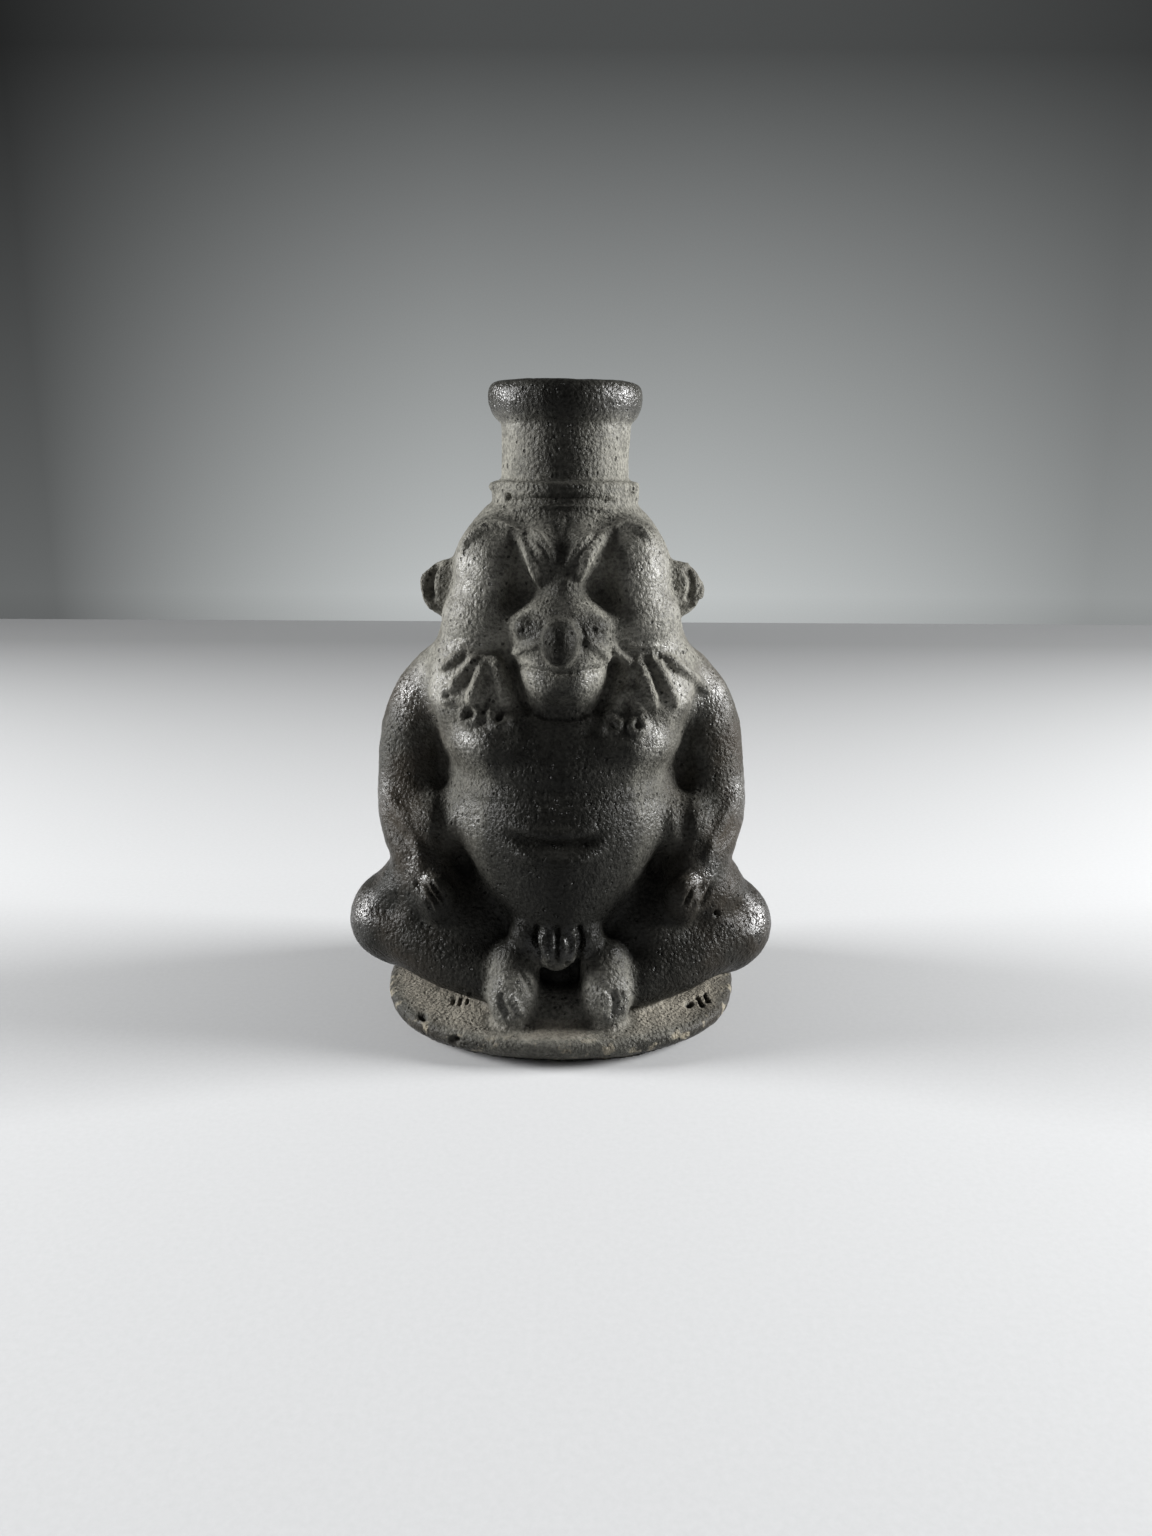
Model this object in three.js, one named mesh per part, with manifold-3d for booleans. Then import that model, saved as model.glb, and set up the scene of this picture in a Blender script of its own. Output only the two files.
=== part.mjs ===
// A small fired-clay bottle in the form of a squatting, leonine dwarf figure.
// Millimetres, +Z up, the figure faces -Y, origin at the middle of the flat underside.
// The potter's pieces are separate solids: a base slab, a moulded front and back that enclose
// the hollow, a thrown neck with its collar and rolled lip, and the limbs, ears, nose, tongue,
// tuft and beard locks that were luted on. A luting gap parts each piece from its neighbours.
import * as THREE from "three";
import { mergeVertices } from "three/addons/utils/BufferGeometryUtils.js";
import Module from "manifold-3d";

const wasm = await Module();
wasm.setup();

// Base slab
const baseRadius = 29;
const baseEdgeHeight = 4;
const baseTopHeight = 4.8;
const baseEdgeRounding = 1.2;
const baseTopRadius = 21;

// Vessel: the figure's trunk and head, one hollow form
const figureHeight = 76.9;
const bodyHalfWidth = 23;
const bellyReach = 24.5;
const backReach = 24.5;
const wall = 4.4;
const crownHoleRadius = 7.7;
const lutingGap = 0.3;
const seamBehindAxis = 1.2;

// Neck, collar and lip
const neckHeight = 12.4;
const neckRadius = 9.6;
const neckWaistRadius = 9.2;
const boreRadius = 6.3;
const collarHeight = 2.9;
const collarRadius = 11.3;
const collarRounding = 0.6;
const lipHeight = 5.2;
const lipRadius = 11.7;
const lipMouthRadius = 7.2;

// Ears
const earHeight = 10.4;
const earReach = 8.6;
const earThickness = 5;
const earHollowDepth = 2.1;

// Limbs
const shoulderRadius = 5.7;
const elbowRadius = 4.8;
const wristRadius = 3.5;
const handRadius = 3.6;
const hipRadius = 8.4;
const kneeRadius = 6.9;
const ankleRadius = 4.3;
const footLength = 11.5;
const footRadius = 3.7;

// Face and hair
const noseRadius = 3.5;
const nostrilRadius = 2.4;
const tongueHalfWidth = 6.9;
const tongueHeight = 11;
const tongueReach = 6.2;
const browRadius = 1.25;
const tuftRadius = 2.9;
const tuftLobeRadius = 2.2;
const lockRadius = 1.05;
const lockTipRadius = 0.8;
const curlRadius = 1.65;

// Rows and sides of the meshes
const bodySides = 32;
const bodyRows = 22;
const ringSides = 32;
const ballSides = 14;
const ballRows = 8;
const limbSides = 12;
const limbRows = 9;
const capRows = 3;
const lockSides = 6;
const lockRows = 13;
const roundingSteps = 3;

// Levels that the pieces share
const bodyFloor = baseTopHeight + lutingGap;
const bodyRoof = bodyFloor + figureHeight;
const neckFloor = bodyRoof + lutingGap;
const neckRoof = neckFloor + neckHeight;
const lipFloor = neckRoof + lutingGap;
const lipRoof = lipFloor + lipHeight;
const overrun = 2 * wall;

// Rows of the vessel from floor to roof: share of the figure's height, then the shares of its
// half width, of its reach to the front and of its reach to the back.
const bodyRowShares = [
  [0, 0.95, 0.6, 0.82],
  [0.038, 1.03, 0.68, 0.95],
  [0.116, 1.05, 0.73, 1],
  [0.194, 1.05, 0.74, 0.98],
  [0.272, 1.04, 0.73, 0.92],
  [0.35, 1.03, 0.72, 0.85],
  [0.428, 1.04, 0.72, 0.81],
  [0.506, 1.05, 0.72, 0.8],
  [0.584, 1.05, 0.7, 0.81],
  [0.636, 1.03, 0.66, 0.8],
  [0.675, 0.98, 0.64, 0.755],
  [0.714, 0.91, 0.64, 0.71],
  [0.753, 0.845, 0.65, 0.69],
  [0.805, 0.8, 0.66, 0.67],
  [0.857, 0.775, 0.65, 0.65],
  [0.909, 0.71, 0.6, 0.6],
  [0.948, 0.63, 0.55, 0.55],
  [0.987, 0.525, 0.475, 0.48],
  [1, 0.49, 0.457, 0.457],
];

// Rows of the torso that swells between the arms, in the same shares: belly, waist and chest.
const torsoRowShares = [
  [0.116, 0.2, 0.67, 0.25],
  [0.155, 0.26, 0.78, 0.33],
  [0.194, 0.36, 0.88, 0.41],
  [0.246, 0.49, 0.955, 0.41],
  [0.298, 0.62, 0.992, 0.41],
  [0.35, 0.73, 1, 0.41],
  [0.395, 0.77, 0.976, 0.41],
  [0.441, 0.76, 0.922, 0.41],
  [0.48, 0.757, 0.894, 0.41],
  [0.532, 0.774, 0.873, 0.41],
  [0.584, 0.774, 0.808, 0.41],
  [0.636, 0.717, 0.694, 0.41],
];

// Swellings of the vessel: the place as shares of the half width, the belly's reach and the
// figure's height, and the half sizes as shares of the same three.
const frontSwellingShares = {
  breast: { place: [0.4, 0.39, 0.547], half: [0.41, 0.475, 0.078] },
  eyeLobe: { place: [0.426, 0.376, 0.867], half: [0.29, 0.305, 0.112] },
  cheek: { place: [0.48, 0.376, 0.779], half: [0.322, 0.335, 0.076] },
  jowl: { place: [0.548, 0.31, 0.681], half: [0.365, 0.351, 0.085] },
  mane: { place: [0.757, 0.13, 0.654], half: [0.287, 0.31, 0.065] },
  muzzle: { place: [0, 0.62, 0.762], half: [0.361, 0.302, 0.078] },
  bridge: { place: [0, 0.51, 0.85], half: [0.15, 0.235, 0.091] },
  forehead: { place: [0, 0.245, 0.95], half: [0.39, 0.27, 0.049] },
  lapFoot: { place: [0, 0.43, 0.078], half: [0.39, 0.41, 0.0765] },
};
const backSwellingShares = {
  shoulderBlade: { place: [0.457, -0.47, 0.52], half: [0.413, 0.306, 0.156] },
  buttock: { place: [0.457, -0.51, 0.118], half: [0.478, 0.449, 0.117] },
};

// A brow ridge's line from the temple over the eye to the bridge: half width and height shares.
const browLineShares = [
  [0.52, 0.945],
  [0.36, 0.962],
  [0.23, 0.925],
  [0.16, 0.885],
  [0.12, 0.85],
];

// Limb lines: shares of the half width, of the belly's reach and of the figure's height.
const armLineShares = [
  [0.95, 0.1, 0.61],
  [1.03, 0.1, 0.52],
  [1.08, 0.13, 0.42],
  [1.07, 0.26, 0.335],
  [0.96, 0.48, 0.275],
  [0.83, 0.66, 0.22],
];
const thighLineShares = [
  [0.5, 0.12, 0.13],
  [0.9, 0.22, 0.155],
  [1.22, 0.22, 0.14],
];
const shinLineShares = [
  [1.22, 0.24, 0.115],
  [0.95, 0.5, 0.09],
  [0.55, 0.7, 0.062],
];
const lapShares = { place: [0.635, 0.318, 0.142], half: [0.417, 0.408, 0.109] };
const footPlaceShares = [0.3, 0.79, 0.112];
const footLeanShare = 0.38;
const footGirthShare = 0.86;
const upperArmTaperShare = 0.67;
const midLimbShare = 0.5;

// Other places as shares of the half width, of the belly's reach and of the figure's height.
const earPlaceShares = [0.8, 0.04, 0.82];
const nosePlaceShares = [0, 0.93, 0.762];
const nostrilPlaceShares = [0.23, 0.85, 0.774];
const tonguePlaceShares = [0, 0.66, 0.67];
const tuftPlaceShares = [0, 0.83, 0.152];
const tuftLobePlaceShares = [0.19, 0.79, 0.168];
const tuftHeightShare = 0.72;

// The ear's hollow: how far out of the ear's middle it lies, and its half sizes, as shares of
// the ear's half reach and half height.
const earHollowOffsetShare = 0.25;
const earHollowReachShare = 0.6;
const earHollowHeightShare = 0.62;

// Beard locks: the stem's points as half width and height shares, from the mouth's corner to
// where the curl starts, and whether the curl turns outwards (1) or inwards (-1).
const leftLockShares = [
  { stem: [[0.37, 0.72], [0.33, 0.665], [0.315, 0.61]], turn: 1 },
  { stem: [[0.41, 0.715], [0.46, 0.66], [0.5, 0.602]], turn: 1 },
  { stem: [[0.46, 0.718], [0.57, 0.675], [0.638, 0.636]], turn: 1 },
  { stem: [[0.5, 0.728], [0.67, 0.705], [0.82, 0.659]], turn: 1 },
];
const rightLockShares = [
  { stem: [[0.27, 0.735], [0.41, 0.7], [0.45, 0.645], [0.437, 0.586]], turn: -1 },
  { stem: [[0.45, 0.712], [0.53, 0.66], [0.57, 0.605]], turn: 1 },
  { stem: [[0.5, 0.72], [0.62, 0.685], [0.71, 0.64]], turn: 1 },
  { stem: [[0.56, 0.722], [0.76, 0.69], [0.93, 0.645]], turn: 1 },
];
const curlTurnShare = 0.72;
const curlSteps = 6;

const front = new THREE.Vector3(0, -1, 0);

function lerp(from, to, share) {
  return from + (to - from) * share;
}

// A closed geometry as a solid: shared vertices merged, faces turned outwards.
function solidOf(geometry) {
  const bare = geometry.clone();
  bare.deleteAttribute("normal");
  bare.deleteAttribute("uv");
  const merged = mergeVertices(bare);
  const corners = merged.index.array;
  const kept = [];
  for (let i = 0; i < corners.length; i += 3) {
    const [a, b, c] = [corners[i], corners[i + 1], corners[i + 2]];
    if (a !== b && b !== c && c !== a) kept.push(a, b, c);
  }
  const vertProperties = new Float32Array(merged.attributes.position.array);
  const made = (order) =>
    new wasm.Manifold(
      new wasm.Mesh({ numProp: 3, vertProperties, triVerts: new Uint32Array(order) }),
    );
  const solid = made(kept);
  return solid.volume() < 0 ? made(kept.reverse()) : solid;
}

function geometryOf(solid) {
  const mesh = solid.getMesh();
  const geometry = new THREE.BufferGeometry();
  geometry.setAttribute("position", new THREE.BufferAttribute(mesh.vertProperties, 3));
  geometry.setIndex(new THREE.BufferAttribute(mesh.triVerts, 1));
  return geometry;
}

function joined(solids) {
  return solids.reduce((sum, next) => sum.add(next));
}

function cutBy(solid, cutters) {
  return cutters.reduce((rest, cutter) => rest.subtract(cutter), solid);
}

// What a potter keeps of a piece after trimming it to its seat: its one main body.
function trimmed(solid) {
  const bodies = solid.decompose();
  return bodies.reduce((most, next) => (next.volume() > most.volume() ? next : most));
}

// A place on one side of the figure (side is -1 or 1) from its three shares.
function placeOf([acrossShare, forwardShare, heightShare], side = 1) {
  return new THREE.Vector3(
    side * acrossShare * bodyHalfWidth,
    -forwardShare * bellyReach,
    bodyFloor + heightShare * figureHeight,
  );
}

// A wall's row at a share of the figure's height, eased between its table's rows.
function rowAt(rowShares, heightShare) {
  const last = rowShares.length - 1;
  const at = THREE.MathUtils.clamp(heightShare, rowShares[0][0], rowShares[last][0]);
  let i = 0;
  while (i < last - 1 && rowShares[i + 1][0] < at) i += 1;
  const rows = [-1, 0, 1, 2].map((step) => rowShares[THREE.MathUtils.clamp(i + step, 0, last)]);
  const span = (at - rows[1][0]) / (rows[2][0] - rows[1][0]);
  const eased = (column) => {
    const slope = (a, b) => {
      const run = b[0] - a[0];
      return run > 0 ? ((b[column] - a[column]) / run) * (rows[2][0] - rows[1][0]) : 0;
    };
    const rise = rows[2][column] - rows[1][column];
    const leave = slope(rows[0], rows[2]);
    const arrive = slope(rows[1], rows[3]);
    const square = span * span;
    const cube = square * span;
    return (
      rows[1][column] +
      rise * (3 * square - 2 * cube) +
      leave * (cube - 2 * square + span) +
      arrive * (cube - square)
    );
  };
  return {
    halfWidth: bodyHalfWidth * eased(1),
    toFront: bellyReach * eased(2),
    toBack: backReach * eased(3),
  };
}

// A wall's form, grown by an amount all round, from one level to another.
function wallSolid(rowShares, grow, floor, roof) {
  const points = [new THREE.Vector2(0, floor)];
  for (let i = 0; i <= bodyRows; i += 1) {
    points.push(new THREE.Vector2(1, lerp(floor, roof, i / bodyRows)));
  }
  points.push(new THREE.Vector2(0, roof));
  const lathe = new THREE.LatheGeometry(points, bodySides);
  const position = lathe.attributes.position;
  for (let i = 0; i < position.count; i += 1) {
    const level = position.getY(i);
    const row = rowAt(rowShares, (level - bodyFloor) / figureHeight);
    const across = position.getX(i);
    const back = position.getZ(i);
    const depth = back < 0 ? row.toFront : row.toBack;
    position.setXYZ(i, across * (row.halfWidth + grow), back * (depth + grow), level);
  }
  return solidOf(lathe);
}

// An ellipsoid with its centre and three half sizes, grown by an amount.
function ball(centre, half, grow = 0) {
  const geometry = new THREE.SphereGeometry(1, ballSides, ballRows);
  geometry.scale(half.x + grow, half.y + grow, half.z + grow);
  geometry.translate(centre.x, centre.y, centre.z);
  return solidOf(geometry);
}

// A round member along a line of points, with its radius at each point and round ends. Its
// lathe's rows are carried onto the line; flat is its thickness towards the front as a share.
function member(points, radii, { grow = 0, flat = 1, sides = limbSides, rows = limbRows } = {}) {
  const line = new THREE.CatmullRomCurve3(points);
  const stations = [];
  for (let i = 0; i < capRows; i += 1) {
    const angle = (Math.PI / 2) * (1 - i / capRows);
    stations.push({ along: 0, radiusShare: Math.cos(angle), ahead: -Math.sin(angle) });
  }
  for (let i = 0; i <= rows; i += 1) stations.push({ along: i / rows, radiusShare: 1, ahead: 0 });
  for (let i = 1; i <= capRows; i += 1) {
    const angle = (Math.PI / 2) * (i / capRows);
    stations.push({ along: 1, radiusShare: Math.cos(angle), ahead: Math.sin(angle) });
  }
  const profile = stations.map((station, i) => new THREE.Vector2(Math.abs(station.radiusShare), i));
  profile[0].x = 0;
  profile[profile.length - 1].x = 0;
  const lathe = new THREE.LatheGeometry(profile, sides);
  const position = lathe.attributes.position;
  for (let i = 0; i < position.count; i += 1) {
    const station = stations[Math.round(position.getY(i))];
    const scaled = station.along * (radii.length - 1);
    const before = Math.min(Math.floor(scaled), radii.length - 2);
    const radius = lerp(radii[before], radii[before + 1], scaled - before) + grow;
    const centre = line.getPoint(station.along);
    const tangent = line.getTangent(station.along);
    const forward = front.clone().addScaledVector(tangent, -front.dot(tangent)).normalize();
    const sideways = new THREE.Vector3().crossVectors(forward, tangent);
    centre.addScaledVector(tangent, station.ahead * radius);
    centre.addScaledVector(sideways, position.getX(i) * radius);
    centre.addScaledVector(forward, position.getZ(i) * radius * flat);
    position.setXYZ(i, centre.x, centre.y, centre.z);
  }
  return solidOf(lathe);
}

// A closed ring or slab turned from a profile of [radius, height] points about the bottle's axis.
function turned(profile) {
  const geometry = new THREE.LatheGeometry(
    profile.map(([radius, height]) => new THREE.Vector2(radius, height)),
    ringSides,
  );
  geometry.rotateX(Math.PI / 2);
  return solidOf(geometry);
}

// Points of a quarter round in a profile, about a centre, from one angle to another.
function rounding(radius, height, size, from, to) {
  const points = [];
  for (let i = 0; i <= roundingSteps; i += 1) {
    const angle = lerp(from, to, i / roundingSteps);
    points.push([radius + size * Math.cos(angle), height + size * Math.sin(angle)]);
  }
  return points;
}

function sizeOf([acrossShare, forwardShare, heightShare]) {
  return new THREE.Vector3(
    acrossShare * bodyHalfWidth,
    forwardShare * bellyReach,
    heightShare * figureHeight,
  );
}

function swellingsOf(swellingShares) {
  return Object.values(swellingShares).flatMap(({ place, half }) => {
    const sides = place[0] === 0 ? [1] : [-1, 1];
    return sides.map((side) => ({ centre: placeOf(place, side), half: sizeOf(half) }));
  });
}

const frontSwellings = swellingsOf(frontSwellingShares);
const backSwellings = swellingsOf(backSwellingShares);

// How far forward the vessel's front, and any further swellings, lie at a place across and up.
function frontOf(across, height, furtherSwellings = []) {
  const heightShare = (height - bodyFloor) / figureHeight;
  const walls = [bodyRowShares, torsoRowShares].filter(
    (rowShares) => rowShares[0][0] <= heightShare && heightShare <= rowShares[rowShares.length - 1][0],
  );
  const reaches = walls.map((rowShares) => {
    const row = rowAt(rowShares, heightShare);
    const inside = 1 - (across / row.halfWidth) ** 2;
    return inside > 0 ? -row.toFront * Math.sqrt(inside) : 0;
  });
  for (const { centre, half } of [...frontSwellings, ...furtherSwellings]) {
    const rest = 1 - ((across - centre.x) / half.x) ** 2 - ((height - centre.z) / half.z) ** 2;
    if (rest > 0) reaches.push(centre.y - half.y * Math.sqrt(rest));
  }
  return Math.min(...reaches);
}

function browSolids(grow) {
  return [-1, 1].map((side) => {
    const points = browLineShares.map(([acrossShare, heightShare]) => {
      const across = side * acrossShare * bodyHalfWidth;
      const height = bodyFloor + heightShare * figureHeight;
      return new THREE.Vector3(across, frontOf(across, height), height);
    });
    const radii = points.map(() => browRadius);
    return member(points, radii, { grow, sides: lockSides });
  });
}

// The torso between the arms, grown by an amount.
function torsoSolid(grow) {
  const [floor, roof] = [torsoRowShares[0][0], torsoRowShares[torsoRowShares.length - 1][0]].map(
    (heightShare) => bodyFloor + heightShare * figureHeight,
  );
  return wallSolid(torsoRowShares, grow, floor - grow, roof + grow);
}

// The vessel's outside with its swellings and brows, grown by an amount to trim its neighbours.
function vesselOutside(grow) {
  const body = wallSolid(bodyRowShares, grow, bodyFloor - grow, bodyRoof + grow);
  const swellings = [...frontSwellings, ...backSwellings].map(({ centre, half }) =>
    ball(centre, half, grow),
  );
  return joined([body, torsoSolid(grow), ...swellings, ...browSolids(grow)]);
}

function halfSpace(side) {
  const size = 2 * (figureHeight + baseRadius);
  const box = new THREE.BoxGeometry(size, size, size);
  box.translate(0, seamBehindAxis + side * (size / 2 + lutingGap / 2), bodyFloor + figureHeight / 2);
  return solidOf(box);
}

function makeVesselHalves() {
  const hollow = wallSolid(bodyRowShares, -wall, bodyFloor - overrun, bodyRoof - wall);
  const crownHole = turned([
    [0, bodyFloor],
    [crownHoleRadius, bodyFloor],
    [crownHoleRadius, bodyRoof + overrun],
    [0, bodyRoof + overrun],
  ]);
  const vessel = cutBy(vesselOutside(0), [hollow, crownHole]);
  return {
    frontShell: trimmed(vessel.intersect(halfSpace(-1))),
    backShell: trimmed(vessel.intersect(halfSpace(1))),
  };
}

function makeBase(grow) {
  const round = baseEdgeRounding;
  return turned([
    [0, -grow],
    [baseRadius - round + grow, -grow],
    ...rounding(baseRadius - round + grow, round, round, -Math.PI / 2, 0),
    ...rounding(baseRadius - round + grow, baseEdgeHeight - round + grow, round, 0, Math.PI / 2),
    [baseTopRadius, baseTopHeight + grow],
    [0, baseTopHeight + grow],
  ]);
}

function makeNeck() {
  return turned([
    [boreRadius, neckFloor],
    [neckRadius, neckFloor],
    [neckWaistRadius, neckFloor + collarHeight],
    [neckWaistRadius, (neckFloor + neckRoof) / 2],
    [neckRadius, neckRoof],
    [boreRadius, neckRoof],
    [boreRadius, neckFloor],
  ]);
}

function makeCollar() {
  const inner = neckRadius + lutingGap;
  const outer = collarRadius - collarRounding;
  const floor = neckFloor;
  return turned([
    [inner, floor],
    ...rounding(outer, floor + collarRounding, collarRounding, -Math.PI / 2, 0),
    ...rounding(outer, floor + collarHeight - collarRounding, collarRounding, 0, Math.PI / 2),
    [inner, floor + collarHeight],
    [inner, floor],
  ]);
}

function makeLip() {
  const round = lipHeight / 2;
  return turned([
    [boreRadius, lipFloor],
    [neckRadius, lipFloor],
    ...rounding(lipRadius - round, lipFloor + round, round, -Math.PI / 3, Math.PI / 2),
    [lipMouthRadius, lipRoof],
    [boreRadius, lipRoof - round],
    [boreRadius, lipFloor],
  ]);
}

function makeEar(side, seat) {
  const centre = placeOf(earPlaceShares, side);
  const half = new THREE.Vector3(earReach / 2, earThickness / 2, earHeight / 2);
  const hollowCentre = centre.clone();
  hollowCentre.x += side * half.x * earHollowOffsetShare;
  hollowCentre.y -= half.y;
  const hollow = half.clone();
  hollow.x *= earHollowReachShare;
  hollow.y = earHollowDepth;
  hollow.z *= earHollowHeightShare;
  return trimmed(cutBy(ball(centre, half), [ball(hollowCentre, hollow), seat]));
}

function armSolid(side, grow = 0) {
  const points = armLineShares.map((shares) => placeOf(shares, side));
  const radii = [
    shoulderRadius,
    lerp(shoulderRadius, elbowRadius, upperArmTaperShare),
    elbowRadius,
    elbowRadius,
    wristRadius,
    handRadius,
  ];
  return member(points, radii, { grow });
}

function legSolid(side, grow = 0) {
  const thigh = member(
    thighLineShares.map((shares) => placeOf(shares, side)),
    [hipRadius, lerp(hipRadius, kneeRadius, midLimbShare), kneeRadius],
    { grow },
  );
  const shin = member(
    shinLineShares.map((shares) => placeOf(shares, side)),
    [kneeRadius, lerp(kneeRadius, ankleRadius, midLimbShare), ankleRadius],
    { grow },
  );
  const lap = ball(placeOf(lapShares.place, side), sizeOf(lapShares.half), grow);
  return joined([thigh, shin, lap]);
}

function footSolid(side, grow = 0) {
  const heel = placeOf(footPlaceShares, side);
  const toes = heel.clone();
  toes.y -= footLength * footLeanShare;
  toes.z = baseTopHeight + footRadius * footGirthShare;
  const girth = footRadius * footGirthShare;
  const instep = heel.clone().lerp(toes, midLimbShare);
  return member([heel, instep, toes], [girth, footRadius, girth], { grow });
}

function tuftSolid() {
  const centre = placeOf(tuftPlaceShares);
  const lobe = new THREE.Vector3(tuftLobeRadius, tuftLobeRadius, tuftLobeRadius);
  const tuftHalfHeight = (tuftRadius + tuftLobeRadius) * tuftHeightShare;
  const middle = new THREE.Vector3(tuftRadius, tuftRadius, tuftHalfHeight);
  const sides = [-1, 1].map((side) => ball(placeOf(tuftLobePlaceShares, side), lobe));
  return joined([ball(centre, middle), ...sides]);
}

function noseSolid(grow = 0) {
  const bulb = new THREE.Vector3(noseRadius, noseRadius, noseRadius);
  const wing = new THREE.Vector3(nostrilRadius, nostrilRadius, nostrilRadius);
  const wings = [-1, 1].map((side) => ball(placeOf(nostrilPlaceShares, side), wing, grow));
  return joined([ball(placeOf(nosePlaceShares), bulb, grow), ...wings]);
}

function tongueSolid(grow = 0) {
  const half = new THREE.Vector3(tongueHalfWidth, tongueReach, tongueHeight / 2);
  return ball(placeOf(tonguePlaceShares), half, grow);
}

// The line of a beard lock across the figure's front: its stem, then an open curl of one radius
// that leaves the stem's end in the stem's direction.
function lockLine({ stem, turn }) {
  const line = stem.map(
    ([acrossShare, heightShare]) =>
      new THREE.Vector2(acrossShare * bodyHalfWidth, bodyFloor + heightShare * figureHeight),
  );
  const end = line[line.length - 1];
  const inwards = new THREE.Vector2().subVectors(end, line[line.length - 2]).normalize();
  inwards.set(-inwards.y * turn, inwards.x * turn);
  const centre = end.clone().addScaledVector(inwards, curlRadius);
  for (let i = 1; i <= curlSteps; i += 1) {
    const angle = 2 * Math.PI * curlTurnShare * turn * (i / curlSteps);
    line.push(end.clone().rotateAround(centre, angle));
  }
  return line;
}

// A beard lock, bedded on the figure's front and shoulders.
function lockSolid(lock, side, grow = 0) {
  const shoulder = {
    centre: placeOf(armLineShares[0], side),
    half: new THREE.Vector3(shoulderRadius, shoulderRadius, shoulderRadius),
  };
  const spots = new THREE.SplineCurve(lockLine(lock)).getSpacedPoints(lockRows);
  const beds = spots.map(({ x, y: height }) => frontOf(side * x, height, [shoulder]));
  const points = spots.map(({ x, y: height }, i) => {
    const before = beds[Math.max(i - 1, 0)];
    const after = beds[Math.min(i + 1, lockRows)];
    const bridged = Math.min(beds[i], (before + after) / 2);
    return new THREE.Vector3(side * x, bridged - lutingGap, height);
  });
  const radii = points.map((point, i) => lerp(lockRadius, lockTipRadius, i / (points.length - 1)));
  return member(points, radii, { grow, sides: lockSides, rows: lockRows });
}

const duskyClay = { color: 0x6b665e, roughness: 0.82, metalness: 0 };
const burnishedClay = { color: 0x3c3935, roughness: 0.5, metalness: 0 };
const bottle = new THREE.Group();

function addPiece(name, solid, finish) {
  const mesh = new THREE.Mesh(geometryOf(solid), new THREE.MeshStandardMaterial(finish));
  mesh.name = name;
  bottle.add(mesh);
}

const { frontShell, backShell } = makeVesselHalves();
const vesselSeat = vesselOutside(lutingGap);
const baseSeat = makeBase(lutingGap);
addPiece("base_disc", makeBase(0), duskyClay);
addPiece("front_shell", frontShell, burnishedClay);
addPiece("back_shell", backShell, burnishedClay);
addPiece("neck", makeNeck(), duskyClay);
addPiece("neck_collar", makeCollar(), duskyClay);
addPiece("lip_ring", makeLip(), burnishedClay);
addPiece("nose", trimmed(noseSolid().subtract(vesselSeat)), burnishedClay);
addPiece("tongue", trimmed(cutBy(tongueSolid(), [vesselSeat, noseSolid(lutingGap)])), burnishedClay);

const footSeats = [-1, 1].map((side) => footSolid(side, lutingGap));
addPiece(
  "tail_tuft",
  trimmed(cutBy(tuftSolid(), [vesselSeat, ...footSeats])),
  burnishedClay,
);

const sideNames = { left: -1, right: 1 };
for (const [sideName, side] of Object.entries(sideNames)) {
  const legSeat = legSolid(side, lutingGap);
  const armSeat = armSolid(side, lutingGap);
  const arm = trimmed(cutBy(armSolid(side), [vesselSeat, legSeat]));
  const leg = trimmed(cutBy(legSolid(side), [vesselSeat, baseSeat, ...footSeats]));
  addPiece(`ear_${sideName}`, makeEar(side, vesselSeat), duskyClay);
  addPiece(`arm_${sideName}`, arm, burnishedClay);
  addPiece(`leg_${sideName}`, leg, burnishedClay);
  addPiece(`foot_${sideName}`, trimmed(cutBy(footSolid(side), [vesselSeat, baseSeat])), burnishedClay);

  const locks = side < 0 ? leftLockShares : rightLockShares;
  const seats = [vesselSeat, armSeat, tongueSolid(lutingGap), noseSolid(lutingGap)];
  locks.forEach((lock, i) => {
    const trimmedLock = trimmed(cutBy(lockSolid(lock, side), seats));
    addPiece(`beard_lock_${sideName}_${i + 1}`, trimmedLock, duskyClay);
    seats.push(lockSolid(lock, side, lutingGap));
  });
}

export default bottle;
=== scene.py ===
"""A small dark fired-clay bottle: a squatting, leonine figure on a round slab.

The figure is worked up as a modeller works clay. Balls and rolls are pressed together, their
creases are softened, marks are drawn into the surface, and the clay is then parted into the
pieces that the potter luted together. Places and sizes are in hundredths of the bottle's
height, with +Z up and the figure facing -Y. Marks that show from the front are drawn at the
photograph's pixels, in its frame of 1152 by 1536.
"""
import math

import bpy
import numpy as np
from mathutils import Matrix, Vector
from mathutils.kdtree import KDTree


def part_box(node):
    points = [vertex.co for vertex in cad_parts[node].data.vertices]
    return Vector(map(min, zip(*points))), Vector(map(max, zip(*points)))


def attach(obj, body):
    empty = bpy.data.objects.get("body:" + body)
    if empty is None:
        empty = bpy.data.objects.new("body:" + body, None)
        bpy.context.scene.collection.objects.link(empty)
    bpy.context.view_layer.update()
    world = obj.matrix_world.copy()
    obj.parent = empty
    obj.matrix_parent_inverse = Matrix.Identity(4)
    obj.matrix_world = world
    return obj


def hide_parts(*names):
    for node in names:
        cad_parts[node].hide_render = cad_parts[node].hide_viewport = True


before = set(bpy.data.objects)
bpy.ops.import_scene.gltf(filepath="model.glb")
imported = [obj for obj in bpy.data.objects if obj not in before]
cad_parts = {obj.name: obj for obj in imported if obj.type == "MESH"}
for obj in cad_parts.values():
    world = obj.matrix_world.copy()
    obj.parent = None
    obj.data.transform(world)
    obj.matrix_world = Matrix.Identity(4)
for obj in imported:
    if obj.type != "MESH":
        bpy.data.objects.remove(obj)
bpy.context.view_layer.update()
WHOLE_HEIGHT = 100
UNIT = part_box("lip_ring")[1].z / WHOLE_HEIGHT

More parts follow.
